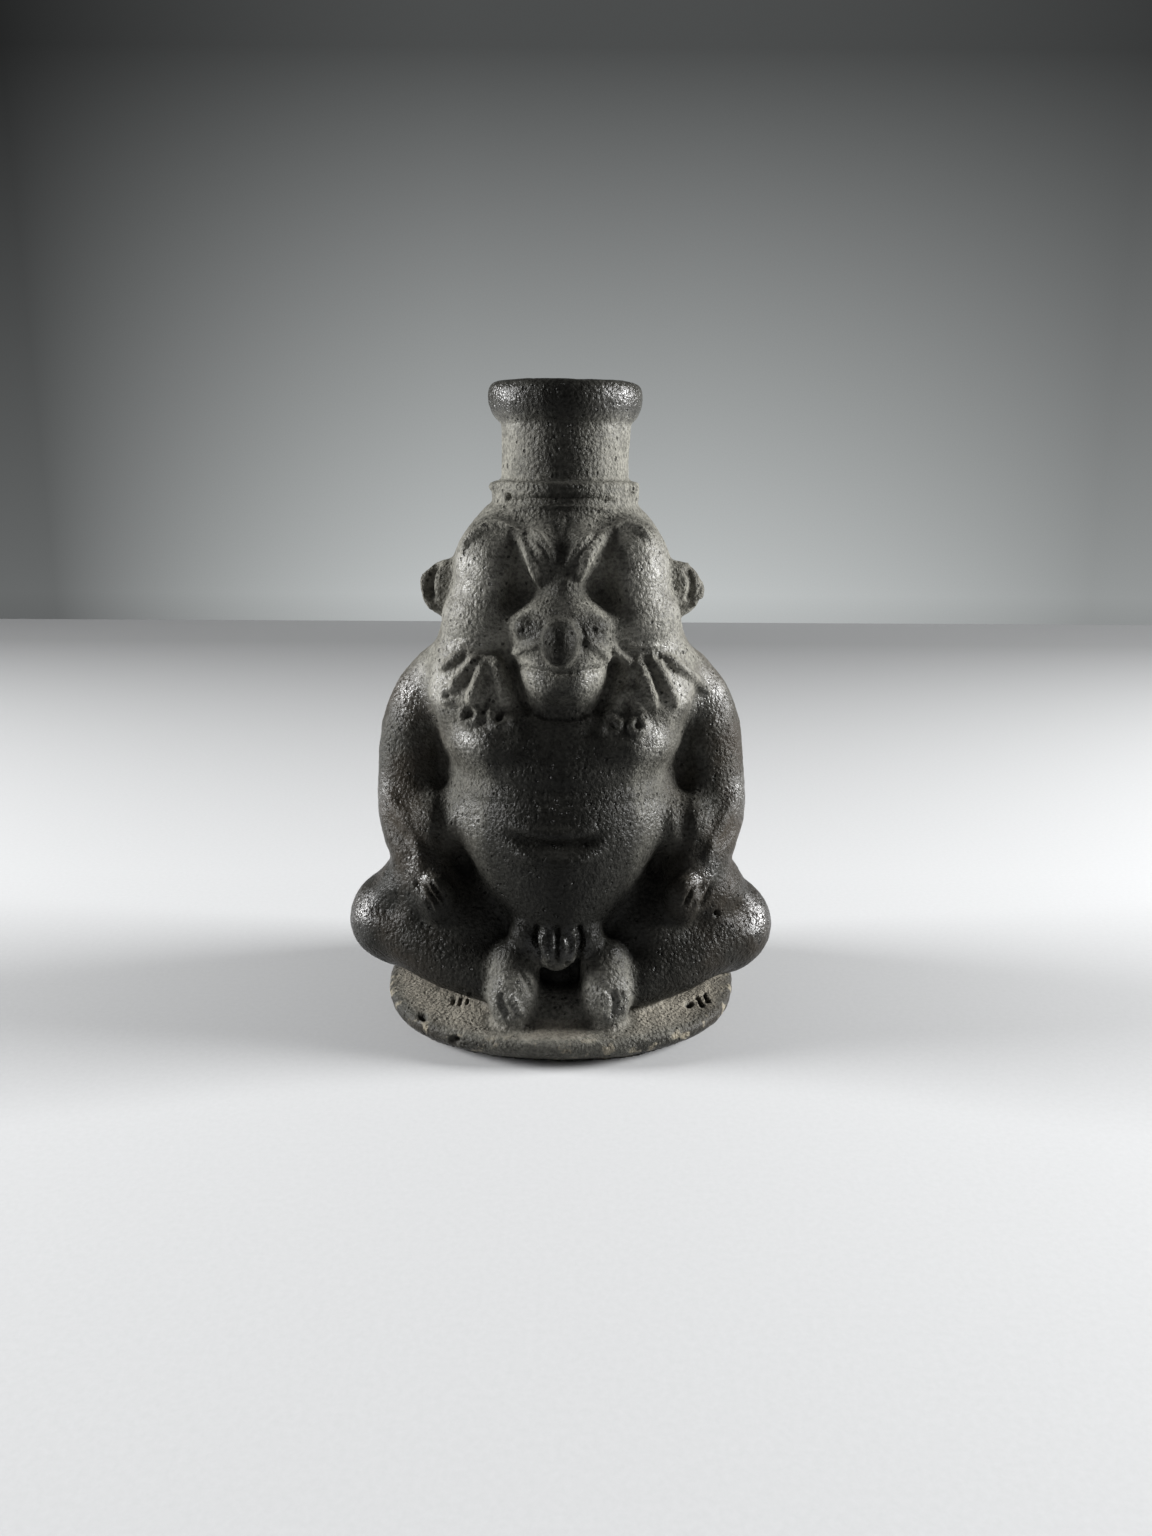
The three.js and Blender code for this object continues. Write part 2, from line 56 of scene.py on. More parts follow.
# The photograph's camera
EYE = (2.35, -190.7, 87.0)
PITCH_DEGREES = 14.1
ROLL_DEGREES = 0.31
LENS_MM = 28
SENSOR_MM = 36
PHOTO_WIDTH = 1152
PHOTO_HEIGHT = 1536
FOCAL_PIXELS = LENS_MM / SENSOR_MM * PHOTO_HEIGHT

# How finely the clay is worked
COARSE_GRAIN = 0.75
MIDDLE_GRAIN = 0.5
FINE_GRAIN = 0.38
BALL_SIDES = 28
BALL_ROWS = 14
PELLETS_PER_ROLL = 11
ROPE_ROUNDNESS = 3
WALL_SIDES = 72
WALL_STEPS = 4
SOFTENING_FACTOR = 0.5

SIDES = {"left": -1, "right": 1}


def spot(place):
    """A place in hundredths of the height as a place in metres."""
    return Vector(place) * UNIT


def mirrored(place, side):
    return (side * place[0], place[1], place[2])


def pick(*things):
    """Selects these things and nothing else."""
    bpy.ops.object.select_all(action="DESELECT")
    for thing in things:
        thing.select_set(True)
    bpy.context.view_layer.objects.active = things[0]


def finished(thing, kind, **settings):
    """Puts a modifier on a thing and applies it."""
    pick(thing)
    step = thing.modifiers.new(kind.title(), kind)
    for name, value in settings.items():
        setattr(step, name, value)
    bpy.ops.object.modifier_apply(modifier=step.name)
    return thing


def settled(thing):
    """Moves a thing's place, turn and size into its mesh."""
    pick(thing)
    bpy.ops.object.transform_apply(location=True, rotation=True, scale=True)
    return thing


def copied(thing, name):
    twin = bpy.data.objects.new(name, thing.data.copy())
    bpy.context.scene.collection.objects.link(twin)
    return twin


def discarded(thing):
    bpy.data.meshes.remove(thing.data)


def smooth_line(points, steps):
    """Points on a smooth line through all the given ones, as an array."""
    given = np.array(points, float)
    before = np.vstack([2 * given[0] - given[1], given[:-1]])
    after = np.vstack([given[1:], 2 * given[-1] - given[-2]])
    slopes = (after - before) / 2
    line = []
    for step in range(steps + 1):
        at = step / steps * (len(given) - 1)
        i = min(int(at), len(given) - 2)
        t = at - i
        line.append(
            given[i] * (1 + 2 * t) * (1 - t) ** 2
            + slopes[i] * t * (1 - t) ** 2
            + given[i + 1] * t * t * (3 - 2 * t)
            + slopes[i + 1] * t * t * (t - 1)
        )
    return np.array(line)


# Lumps of clay


def ball(place, size, tilt=(0, 0, 0)):
    """A ball of clay, squeezed to three half sizes and tilted."""
    bpy.ops.mesh.primitive_uv_sphere_add(
        segments=BALL_SIDES,
        ring_count=BALL_ROWS,
        radius=1,
        location=spot(place),
        rotation=[math.radians(angle) for angle in tilt],
        scale=spot(size),
    )
    return bpy.context.object


def roll(points, girths):
    """A roll of clay: pellets pressed on each other along a smooth line."""
    line = smooth_line(points, PELLETS_PER_ROLL)
    sizes = smooth_line([[girth] for girth in girths], PELLETS_PER_ROLL)
    return [ball(place, (size[0],) * 3) for place, size in zip(line, sizes)]


def rope(places, girths):
    """A thin roll of clay through places on the figure, with its girth's radius at each."""
    thread = bpy.data.curves.new("rope", "CURVE")
    thread.dimensions = "3D"
    thread.bevel_depth = UNIT
    thread.bevel_resolution = ROPE_ROUNDNESS
    thread.use_fill_caps = True
    line = thread.splines.new("POLY")
    line.points.add(len(places) - 1)
    for point, place, girth in zip(line.points, places, girths):
        point.co = (*spot(place), 1)
        point.radius = girth
    thing = bpy.data.objects.new("rope", thread)
    bpy.context.scene.collection.objects.link(thing)
    pick(thing)
    bpy.ops.object.convert(target="MESH")
    return bpy.context.object


def raised_wall(rows, steps=WALL_STEPS):
    """A solid raised row by row: height, half width, reach to the front and to the back."""
    rows = smooth_line(rows, steps * (len(rows) - 1))
    height, half_width, to_front, to_back = rows[0]
    bpy.ops.object.select_all(action="DESELECT")
    bpy.ops.mesh.primitive_circle_add(
        vertices=WALL_SIDES,
        radius=1,
        fill_type="NGON",
        location=spot((0, (to_back - to_front) / 2, height)),
    )
    wall = bpy.context.object
    wall.scale = spot((half_width, (to_front + to_back) / 2, 1 / UNIT))
    settled(wall)
    bpy.ops.object.mode_set(mode="EDIT")
    bpy.ops.mesh.select_all(action="SELECT")
    for low, high in zip(rows, rows[1:]):
        middle = (high[3] - high[2]) / 2
        shift = spot((0, middle - (low[3] - low[2]) / 2, high[0] - low[0]))
        growth = (high[1] / low[1], (high[2] + high[3]) / (low[2] + low[3]), 1)
        bpy.ops.mesh.extrude_region_move(TRANSFORM_OT_translate={"value": shift})
        bpy.ops.transform.resize(value=growth, center_override=spot((0, middle, high[0])))
    bpy.ops.mesh.select_all(action="SELECT")
    bpy.ops.mesh.normals_make_consistent(inside=False)
    bpy.ops.object.mode_set(mode="OBJECT")
    return wall


def turned(rows, steps=WALL_STEPS):
    """A round solid: height and radius of each row."""
    return raised_wall([(height, radius, radius, radius) for height, radius in rows], steps)


def pressed(lumps, name, grain, softening):
    """Lumps pressed into one body of clay, with its creases softened."""
    pick(*lumps)
    bpy.ops.object.join()
    clay = settled(bpy.context.object)
    clay.name = name
    finished(clay, "REMESH", mode="VOXEL", voxel_size=grain * UNIT)
    if softening:
        finished(clay, "SMOOTH", factor=SOFTENING_FACTOR, iterations=softening)
    return clay


# The figure's masses

# The trunk and head: height, half width, reach to the front and to the back
TRUNK_ROWS = [
    (3.5, 21, 13, 19),
    (6, 22.5, 15, 22.5),
    (12, 23, 16, 24.2),
    (20, 22.5, 16.5, 24),
    (28, 21.8, 16.5, 22),
    (36, 21.8, 16.5, 20.5),
    (44, 22.2, 16.3, 19.8),
    (50, 23.4, 16, 19.8),
    (53, 24.4, 15.8, 19.5),
    (55, 24.2, 15.6, 19),
    (57, 22.2, 15.4, 18.5),
    (59.5, 20.4, 15.2, 17.8),
    (62, 19.4, 15.2, 17.2),
    (65, 18.8, 15.4, 16.8),
    (68, 18.2, 15.3, 16.4),
    (72, 17.7, 14.8, 15.9),
    (75, 16.6, 14, 14.9),
    (78, 14.8, 13, 13.3),
    (80.5, 12.7, 11.9, 11.9),
    (82, 11.5, 11.2, 11.2),
]

# The torso between the arms, in the same measures
TORSO_ROWS = [
    (13, 5, 18, 6),
    (16, 7.6, 20.6, 8),
    (19.5, 10.6, 22.6, 10),
    (24, 13.4, 23.8, 10),
    (28, 15.4, 24.3, 10),
    (32, 17, 24.5, 10),
    (35.5, 17.5, 24, 10),
    (39, 17.2, 23, 10),
    (42, 17.2, 22.2, 10),
    (46, 17.8, 21.6, 10),
    (50, 17.8, 19.8, 10),
    (54, 16.5, 17, 10),
]

# Balls at the middle: place and half sizes
MIDDLE_BALLS = {
    "snout": ((0.4, -14.6, 64.6), (8, 7, 4.7)),
    "bridge": ((0.4, -12.5, 70.5), (3.2, 5.5, 7)),
    "upper lip": ((0.5, -15.3, 61.3), (7.6, 7.2, 2.6)),
    "tongue": ((0.4, -14.2, 57.3), (7, 7.9, 5.3)),
    "forehead": ((0.2, -6, 78.5), (9, 6.6, 3.8)),
    "lap's foot": ((-0.3, -9.5, 9), (9, 9.5, 8)),
    "skirt": ((-0.3, -12, 5.7), (12, 13, 5.2)),
}

# Balls on both sides: place on the right and half sizes
PAIRED_BALLS = {
    "breast": ((9.2, -9.6, 47.2), (9.4, 11.6, 6)),
    "brow's root": ((3.1, -12.2, 74), (2.9, 5.3, 5)),
    "eye lobe": ((9.8, -9.2, 71.8), (6.6, 7.4, 8.6)),
    "cheek": ((11, -9.2, 65), (7.4, 8.2, 5.8)),
    "jowl": ((12.6, -7.6, 57.5), (8.4, 8.6, 6.5)),
    "mane": ((17.4, -3.2, 55.4), (6.6, 7.6, 5)),
    "beard": ((12.4, -10.6, 53.6), (8, 7.9, 6.4)),
    "lap": ((14, -8.8, 16.8), (10, 10.4, 8.8)),
    "thigh's top": ((22.3, -8, 21.2), (7.5, 8.8, 6.6)),
    "inside the elbow": ((18.6, -9.5, 33.2), (6.5, 6.5, 5)),
    "shoulder blade": ((10.5, 11.5, 45), (9.5, 7.5, 12)),
    "buttock": ((10.5, 12.5, 13), (11, 11, 9)),
    "hip": ((15.5, -3, 17), (9.5, 10, 9)),
}

# Rolls on both sides: points on the right and the girth's radius at each
ARM_ROLL = (
    [
        (20.9, -3, 51.6),
        (22.7, -3.2, 46.5),
        (23.4, -3.8, 40),
        (23.5, -5.4, 34.4),
        (22.6, -9.6, 30),
        (20.6, -12.8, 26.6),
        (19.2, -15, 23.4),
    ],
    [6, 6.3, 6.2, 6.2, 5.4, 4.5, 3.9],
)
THIGH_ROLL = ([(14, -4, 16.5), (20, -5, 17.2), (23.5, -5.6, 16)], [9, 8.4, 8.2])
KNEE_BALL = ((24, -6.6, 15.3), (10.7, 9.6, 8.6))
SHIN_ROLL = (
    [(24, -10.8, 14.6), (20.2, -13.4, 13.2), (16, -15.8, 11.6), (11.5, -18, 10.1)],
    [6.2, 5.9, 5.3, 4.5],
)
FOOT_ROLL = ([(6.9, -19, 13), (7.2, -21.6, 9), (7.4, -22.9, 6.2)], [3.9, 4, 2.8])
HAND_BALL = ((18.7, -17.5, 22.4), (3, 2.5, 4.8), (20, 0, 12))
KNEE_RISE = {"left": 0.5, "right": -0.5}


def limb(points, girths, side, rise=0):
    return roll([(side * x, y, z + rise) for x, y, z in points], girths)


def body_lumps():
    lumps = [raised_wall(TRUNK_ROWS), raised_wall(TORSO_ROWS)]
    lumps += [ball(place, size) for place, size in MIDDLE_BALLS.values()]
    for side_name, side in SIDES.items():
        rise = KNEE_RISE[side_name]
        lumps += [ball(mirrored(place, side), size) for place, size in PAIRED_BALLS.values()]
        lumps += limb(*ARM_ROLL, side)
        lumps += limb(*THIGH_ROLL, side, rise)
        lumps += limb(*SHIN_ROLL, side, rise)
        (across, forward, height), size = KNEE_BALL
        lumps.append(ball((side * across, forward, height + rise), size))
    return lumps


# Base slab, collar, neck and lip: height and radius of each row
BASE_ROWS = [
    (0, 25.4),
    (0.6, 26.9),
    (1.6, 28.3),
    (2.8, 29),
    (3.8, 28.8),
    (4.3, 27.9),
    (4.7, 24.5),
    (5.2, 19),
]
BASE_SQUARENESS = 2.35
COLLAR_ROWS = [(81.2, 11), (82, 11.4), (84, 11.5), (84.8, 11.4), (85.1, 10.4)]
NECK_ROWS = [(80, 10), (85, 9.9), (89, 9.8), (93, 9.9), (96, 10.2)]
LIP_ROWS = [
    (93.8, 10.2),
    (94.4, 10.8),
    (95.4, 11.4),
    (96.6, 11.75),
    (97.8, 11.8),
    (98.8, 11.5),
    (99.4, 10.8),
    (99.6, 9.2),
]
NECK_SHIFT = 0.45

EAR_BALL = ((17.4, -2.4, 68.7), (4.6, 3, 4.6), (0, 0, -8))
NOSE_BALL = ((0, -22.9, 63.2), (2.9, 4, 3.7))
NOSE_ROOT_BALL = ((0, -18.7, 63.9), (6, 3, 3.1))
NOSTRIL_BALLS = {"left": ((-5, -18.6, 64.5), 1.75), "right": ((5, -18.6, 64.6), 1.7)}
TUFT_BALL = ((-0.6, -20.4, 16.2), (3.4, 3.4, 3.9))
TUFT_SIDE_BALLS = {
    "left": ((-4.8, -19, 17.6), (3, 3.3, 3.5)),
    "right": ((3.9, -19, 17.5), (2.8, 3.3, 3.4)),
}


def base_slab():
    """The slab, whose front was patted a little squarer than its round back."""
    slab = turned(BASE_ROWS)
    for vertex in slab.data.vertices:
        across, back = vertex.co.x, vertex.co.y
        if back < 0:
            reach = math.hypot(across, back)
            power = BASE_SQUARENESS
            fullness = (abs(across / reach) ** power + abs(back / reach) ** power) ** (-1 / power)
            vertex.co.x = across * fullness
            vertex.co.y = back * fullness
    return slab


def neck_rings():
    rings = [turned(rows) for rows in (COLLAR_ROWS, NECK_ROWS, LIP_ROWS)]
    for ring in rings:
        ring.location.x += NECK_SHIFT * UNIT
    return rings


def small_lumps():
    lumps = [base_slab()]
    lumps.append(ball(*NOSE_BALL))
    lumps.append(ball(*NOSE_ROOT_BALL))
    lumps.append(ball(*TUFT_BALL))
    for side_name, side in SIDES.items():
        place, girth = NOSTRIL_BALLS[side_name]
        lumps.append(ball(place, (girth, girth, girth)))
        lumps.append(ball(*TUFT_SIDE_BALLS[side_name]))
        place, size, (lean, nod, swing) = EAR_BALL
        lumps.append(ball(mirrored(place, side), size, (lean, nod, side * swing)))
        place, size, (lean, nod, swing) = HAND_BALL
        lumps.append(ball(mirrored(place, side), size, (lean, nod, side * swing)))
        lumps += limb(*FOOT_ROLL, side)
    return lumps


# Marks drawn where the photograph shows them


def camera_axes():
    """The camera's right, up and forward directions."""
    pitch = math.radians(PITCH_DEGREES)
    lean = math.radians(ROLL_DEGREES)
    forward = np.array([0, math.cos(pitch), -math.sin(pitch)])
    level = np.array([1.0, 0, 0])
    upright = np.cross(level, forward)
    right = level * math.cos(lean) + upright * math.sin(lean)
    up = upright * math.cos(lean) - level * math.sin(lean)
    return right, up, forward


def vertex_array(clay):
    places = np.empty(len(clay.data.vertices) * 3)
    clay.data.vertices.foreach_get("co", places)
    return places.reshape(-1, 3)


def normal_array(clay):
    normals = np.empty(len(clay.data.vertices) * 3, np.float32)
    clay.data.vertex_normals.foreach_get("vector", normals)
    return normals.reshape(-1, 3).astype(float)


def eased(share):
    """0 below 0, 1 above 1 and smooth between."""
    share = np.clip(share, 0, 1)
    return share * share * (3 - 2 * share)


SEEN_CELL_PIXELS = 3
SEEN_DEPTH = 2.5
GRAZING = 0.06
SQUARE_ON = 0.3
MARK_STEPS = 5
END_FADE = 0.12
SHORTEST_RUN = 1e-9


def seen_from_camera(clay):
    """Each vertex's pixel, how fully the camera sees it, and the way to the camera."""
    right, up, forward = camera_axes()
    places = vertex_array(clay) / UNIT
    ray = places - np.array(EYE)
    depth = ray @ forward
    pixels = np.stack(
        [
            PHOTO_WIDTH / 2 + FOCAL_PIXELS * (ray @ right) / depth,
            PHOTO_HEIGHT / 2 - FOCAL_PIXELS * (ray @ up) / depth,
        ],
        axis=1,
    )
    towards = -ray / np.linalg.norm(ray, axis=1, keepdims=True)
    squareness = np.einsum("ij,ij->i", normal_array(clay), towards)
    seen = eased((squareness - GRAZING) / (SQUARE_ON - GRAZING))
    cells = (pixels // SEEN_CELL_PIXELS).astype(int)
    cells = cells[:, 0] * PHOTO_HEIGHT + cells[:, 1]
    nearest = np.full(cells.max() + 1, np.inf)
    np.minimum.at(nearest, cells, depth)
    behind = depth - nearest[cells]
    seen *= eased(2 - behind / SEEN_DEPTH)
    return pixels, seen, towards


def distance_to_line(pixels, line):
    """Each pixel's distance to a line, and how far along the line its nearest point lies."""
    nearest = np.full(len(pixels), np.inf)
    along = np.zeros(len(pixels))
    count = len(line) - 1
    for i in range(count):
        start = line[i]
        run = line[i + 1] - start
        share = np.clip((pixels - start) @ run / max(run @ run, SHORTEST_RUN), 0, 1)
        gap = np.linalg.norm(pixels - start - share[:, None] * run, axis=1)
        closer = gap < nearest
        nearest[closer] = gap[closer]
        along[closer] = (i + share[closer]) / count
    return nearest, along


def mark(height, points, width, fade=END_FADE):
    """A ridge (height above zero) or a groove (below zero): points and width in pixels."""
    return {"height": height, "points": points, "width": width, "fade": fade}


def dent(depth, centre, half, tilt=0):
    """A hollow (or a boss, with a depth below zero): centre and half sizes in pixels."""
    return {"depth": depth, "centre": centre, "half": half, "tilt": tilt}


def mark_amount(pixels, lines):
    """How far out a line mark or a dent moves each pixel's surface."""
    amount = np.zeros(len(pixels))
    if "points" in lines:
        line = smooth_line(lines["points"], MARK_STEPS * (len(lines["points"]) - 1))
        low = line.min(axis=0) - lines["width"]
        high = line.max(axis=0) + lines["width"]
        near = np.all((pixels > low) & (pixels < high), axis=1)
        if not near.any():
            return amount
        gap, along = distance_to_line(pixels[near], line)
        swell = np.clip(1 - (gap / (lines["width"] / 2)) ** 2, 0, 1) ** 2
        fade = lines["fade"]
        ends = eased(along / fade) * eased((1 - along) / fade) if fade else 1
        amount[near] = lines["height"] * swell * ends
        return amount
    lean = math.radians(lines["tilt"])
    offset = pixels - np.array(lines["centre"])
    across = offset[:, 0] * math.cos(lean) + offset[:, 1] * math.sin(lean)
    down = offset[:, 1] * math.cos(lean) - offset[:, 0] * math.sin(lean)
    reach = (across / lines["half"][0]) ** 2 + (down / lines["half"][1]) ** 2
    return -lines["depth"] * np.clip(1 - reach, 0, 1) ** 2


def drawn(clay, marks, towards_camera=False):
    """Works marks into the clay, along its normals or towards the camera."""
    pixels, seen, towards = seen_from_camera(clay)
    amounts = np.zeros(len(pixels))
    for each in marks:
        amounts += mark_amount(pixels, each)
    ways = towards if towards_camera else normal_array(clay)
    places = vertex_array(clay) + ways * (amounts * seen)[:, None] * UNIT
    clay.data.vertices.foreach_set("co", places.ravel())
    clay.data.update()
    return clay


ROPE_STEP_PIXELS = 2.5
FEWEST_STEPS = 6
CURL_STEP_DEGREES = 30
ROPE_LIFT = 0.3
ROPE_EVENING = 4
ROPE_TIP_SHARE = 0.4
ROPE_TAPER_SHARE = 0.2
SHOWN_ENOUGH = 0.2


def laid_on(clay, ropes):
    """Ropes laid on the clay where the camera sees them: points in pixels and the girth."""
    pixels, seen, _ = seen_from_camera(clay)
    places = vertex_array(clay) / UNIT
    normals = normal_array(clay)
    shown = np.flatnonzero(seen > SHOWN_ENOUGH)
    finder = KDTree(len(shown))
    for i in shown:
        finder.insert((*pixels[i], 0), i)
    finder.balance()
    laid = []
    for points, girth in ropes:
        length = sum(math.dist(a, b) for a, b in zip(points, points[1:]))
        line = smooth_line(points, max(FEWEST_STEPS, int(length / ROPE_STEP_PIXELS)))
        under = [finder.find((*pixel, 0))[1] for pixel in line]
        spots = places[under] + normals[under] * girth * ROPE_LIFT
        for _ in range(ROPE_EVENING):
            spots[1:-1] = (spots[:-2] + 2 * spots[1:-1] + spots[2:]) / 4
        shares = np.linspace(0, 1, len(line))
        swell = eased(shares / ROPE_TAPER_SHARE) * eased((1 - shares) / ROPE_TAPER_SHARE)
        girths = girth * (ROPE_TIP_SHARE + (1 - ROPE_TIP_SHARE) * swell)
        laid.append(rope(spots, girths))
    return laid


def curl(centre, radius, start, turn):
    """Points of a curl about a centre, from a start angle through a turn, in degrees."""
    steps = max(FEWEST_STEPS, int(abs(turn) / CURL_STEP_DEGREES))
    angles = [math.radians(start + turn * i / steps) for i in range(steps + 1)]
    return [(centre[0] + radius * math.cos(a), centre[1] + radius * math.sin(a)) for a in angles]


# Sockets, elbows, the tongue's sides, fists and folds, pushed straight back from the front
DEEP_MARKS = [
    dent(2.2, (517, 590), (20, 34), 12),
    dent(2.2, (605, 592), (21, 34), -12),
    dent(1.1, (391, 906), (30, 20), -25),
    dent(1.1, (742, 914), (30, 20), 25),
    mark(-2.0, [(510, 656), (515, 674), (521, 696), (532, 717)], 12),
    mark(-2.0, [(614, 656), (611, 676), (604, 698), (595, 717)], 12),
    mark(0.7, [(382, 785), (390, 799), (399, 812), (412, 825)], 22, 0.25),
    mark(-0.7, [(381, 812), (392, 826), (403, 836), (416, 843)], 22, 0.25),
    mark(0.7, [(742, 787), (735, 801), (727, 814), (716, 827)], 22, 0.25),
    mark(-0.7, [(744, 814), (734, 828), (724, 838), (712, 845)], 22, 0.25),
    mark(0.55, [(400, 815), (409, 833), (418, 850), (425, 866)], 16, 0.3),
    mark(0.55, [(727, 817), (719, 835), (710, 852), (704, 868)], 16, 0.3),
    mark(-0.8, [(440, 722), (439, 760), (443, 800), (440, 850)], 24),
    mark(-0.8, [(684, 722), (686, 760), (684, 800), (686, 850)], 24),
    mark(
        -0.7,
        [(436, 737), (461, 768), (500, 787), (562, 793), (624, 787), (667, 768), (686, 737)],
        24,
    ),
    mark(-1.0, [(532, 974), (560, 984), (588, 976)], 18),
]

# Ropes over the eyes and beside the nose
BROW_ROPES = [
    ([(463, 552), (469, 541), (481, 530), (496, 524), (511, 528)], 0.65),
    ([(508, 526), (519, 536), (528, 552), (535, 570), (539, 588)], 0.75),
    ([(529, 527), (540, 537), (549, 551), (555, 568)], 0.5),
    ([(651, 540), (642, 531), (629, 525), (614, 528)], 0.65),
    ([(617, 526), (605, 534), (594, 548), (585, 563), (579, 582)], 0.75),
    ([(598, 530), (585, 539), (574, 554), (569, 568)], 0.5),
    ([(513, 654), (521, 650), (531, 646), (541, 643)], 0.65),
    ([(583, 641), (593, 645), (603, 652), (609, 661)], 0.65),
]

# Strands of the beard and their curls
LOCK_ROPES = [
    ([(493, 656), (497, 672), (501, 690), (505, 708)], 1.3),
    (curl((499, 718), 10, -40, 300), 0.68),
    ([(486, 660), (480, 676), (474, 692), (469, 705)], 1.0),
    (curl((470, 715), 9, -60, 300), 0.7),
    ([(477, 657), (468, 668), (459, 679), (451, 689)], 0.9),
    (curl((448, 696), 7, 40, 290), 0.65),
    ([(463, 655), (451, 662), (439, 670)], 0.7),
    ([(613, 647), (623, 656), (630, 668), (630, 684)], 0.85),
    ([(629, 684), (621, 699), (614, 712), (610, 722)], 0.8),
    (curl((614, 727), 7, -90, 290), 0.62),
    ([(632, 686), (637, 699), (642, 712)], 0.75),
    (curl((637, 726), 8, -60, 290), 0.65),
    ([(638, 660), (643, 676), (649, 692), (655, 708)], 1.0),
    ([(651, 657), (660, 673), (668, 689), (676, 705)], 1.0),
    ([(662, 655), (678, 667), (694, 679), (709, 692)], 0.85),
]

# Forehead, muzzle, mouth, chin and nostrils
FACE_MARKS = [
    mark(0.3, [(520, 527), (534, 543), (546, 568)], 10),
    mark(0.3, [(605, 529), (590, 545), (577, 566)], 10),
    mark(0.3, [(562, 512), (561, 524), (562, 538)], 6),
    mark(0.5, [(505, 512), (530, 508), (562, 507), (594, 508), (618, 512)], 8),
    mark(-0.5, [(505, 502), (530, 499), (562, 498), (594, 499), (618, 502)], 8),
    mark(-0.25, [(541, 647), (540, 634), (545, 620)], 5),
    mark(-0.25, [(583, 647), (584, 634), (579, 620)], 5),
    mark(-0.7, [(515, 665), (538, 671), (562, 674), (585, 672), (606, 667)], 8),
    mark(0.4, [(458, 641), (475, 645), (493, 646), (507, 642)], 8),
    mark(-0.4, [(460, 649), (476, 653), (493, 653), (506, 650)], 8),
    mark(0.4, [(622, 641), (640, 646), (660, 645)], 8),
    mark(-0.5, [(534, 711), (546, 718), (562, 721), (578, 719), (591, 712)], 9),
    dent(0.5, (523, 630), (3, 5)),
    dent(0.45, (594, 630), (4, 4)),
    dent(0.45, (602, 633), (3.5, 4)),
    dent(1.2, (508, 497), (4, 5)),
    dent(-0.9, (494, 487), (6, 7)),
    dent(-0.8, (633, 489), (6, 7)),
]

# Between the strands and inside the curls
LOCK_MARKS = [
    dent(0.7, (488, 700), (5, 14), 15),
    dent(0.3, (499, 718), (5, 5)),
    dent(0.3, (470, 714), (5, 5)),
    dent(0.25, (448, 696), (4, 4)),
    dent(0.6, (627, 706), (5, 10)),
    dent(0.3, (637, 726), (4.5, 4.5)),
    dent(0.25, (614, 727), (4, 4)),
]

# Belly folds, fingers, ears, tuft, toes and nicks in the slab
BODY_MARKS = [
    mark(-0.25, [(448, 797), (500, 803), (562, 805), (624, 803), (678, 797)], 12, 0.3),
    mark(0.5, [(498, 818), (526, 829), (556, 834), (584, 831), (610, 820)], 16, 0.3),
    mark(-1.1, [(498, 831), (526, 842), (556, 847), (584, 844), (610, 832)], 15, 0.3),
    mark(0.8, [(502, 846), (528, 858), (556, 862), (584, 859), (612, 847)], 17, 0.3),
    mark(-0.65, [(412, 874), (422, 895), (436, 916)], 6, 0.3),
    mark(-0.65, [(420, 875), (430, 894), (443, 912)], 6, 0.3),
    mark(-0.65, [(428, 877), (437, 892), (448, 906)], 6, 0.3),
    mark(-0.65, [(714, 880), (706, 897), (697, 912)], 6, 0.3),
    mark(-0.65, [(706, 879), (698, 896), (690, 911)], 6, 0.3),
    mark(-0.65, [(697, 880), (690, 895), (683, 909)], 6, 0.3),
    dent(1.2, (717, 914), (4, 4)),
    mark(-0.9, [(441, 559), (433, 570), (430, 587), (434, 603)], 9, 0.2),
    mark(0.6, [(443, 555), (430, 563), (424, 578), (427, 598), (436, 610)], 6, 0.1),
    mark(-0.7, [(684, 566), (691, 576), (692, 590), (686, 604)], 11, 0.2),
    mark(0.6, [(683, 562), (696, 566), (702, 578), (700, 595), (690, 608)], 6, 0.1),
    dent(1.1, (698, 601), (4, 4)),
    mark(-0.8, [(558, 925), (558, 945), (558, 965)], 9),
    mark(0.6, [(545, 926), (544, 946), (548, 964)], 8),
    mark(0.6, [(571, 926), (573, 946), (569, 964)], 8),
    mark(-1.0, [(537, 924), (535, 942), (540, 962)], 6),
    mark(-1.0, [(579, 924), (582, 942), (578, 962)], 6),
    mark(-0.7, [(500, 992), (503, 1006), (510, 1018)], 11),
    mark(0.5, [(510, 990), (517, 1004), (524, 1018)], 6),
    mark(-0.7, [(612, 990), (615, 1004), (613, 1018)], 12),
    mark(0.5, [(603, 988), (602, 1004), (606, 1018)], 6),
    mark(0.4, [(623, 988), (626, 1002), (622, 1014)], 6),
    mark(-0.5, [(518, 966), (526, 980), (535, 996)], 7),
    dent(1.0, (423, 1017), (6, 6)),
    dent(1.2, (455, 1040), (7, 6)),
    dent(1.3, (689, 1004), (5, 3.5)),
    mark(-0.8, [(697, 997), (702, 1006)], 4, 0),
    mark(-0.8, [(704, 994), (708, 1002)], 4, 0),
    mark(-0.7, [(453, 1003), (457, 993)], 4, 0),
    mark(-0.7, [(460, 1004), (463, 995)], 4, 0),
    mark(-0.7, [(467, 1003), (470, 994)], 4, 0),
]


# How often the clay is softened after each pressing
BODY_SOFTENING = 18
LUMP_SOFTENING = 3
SKIN_SOFTENING = 2

# Uneven skin: how large its lumps are, and from how low to how high they reach
HAND_LUMPS = (7, 0.5)
GRITTY_SKIN = (0.9, 0.14)

UNDERSIDE_BAND = 0.35


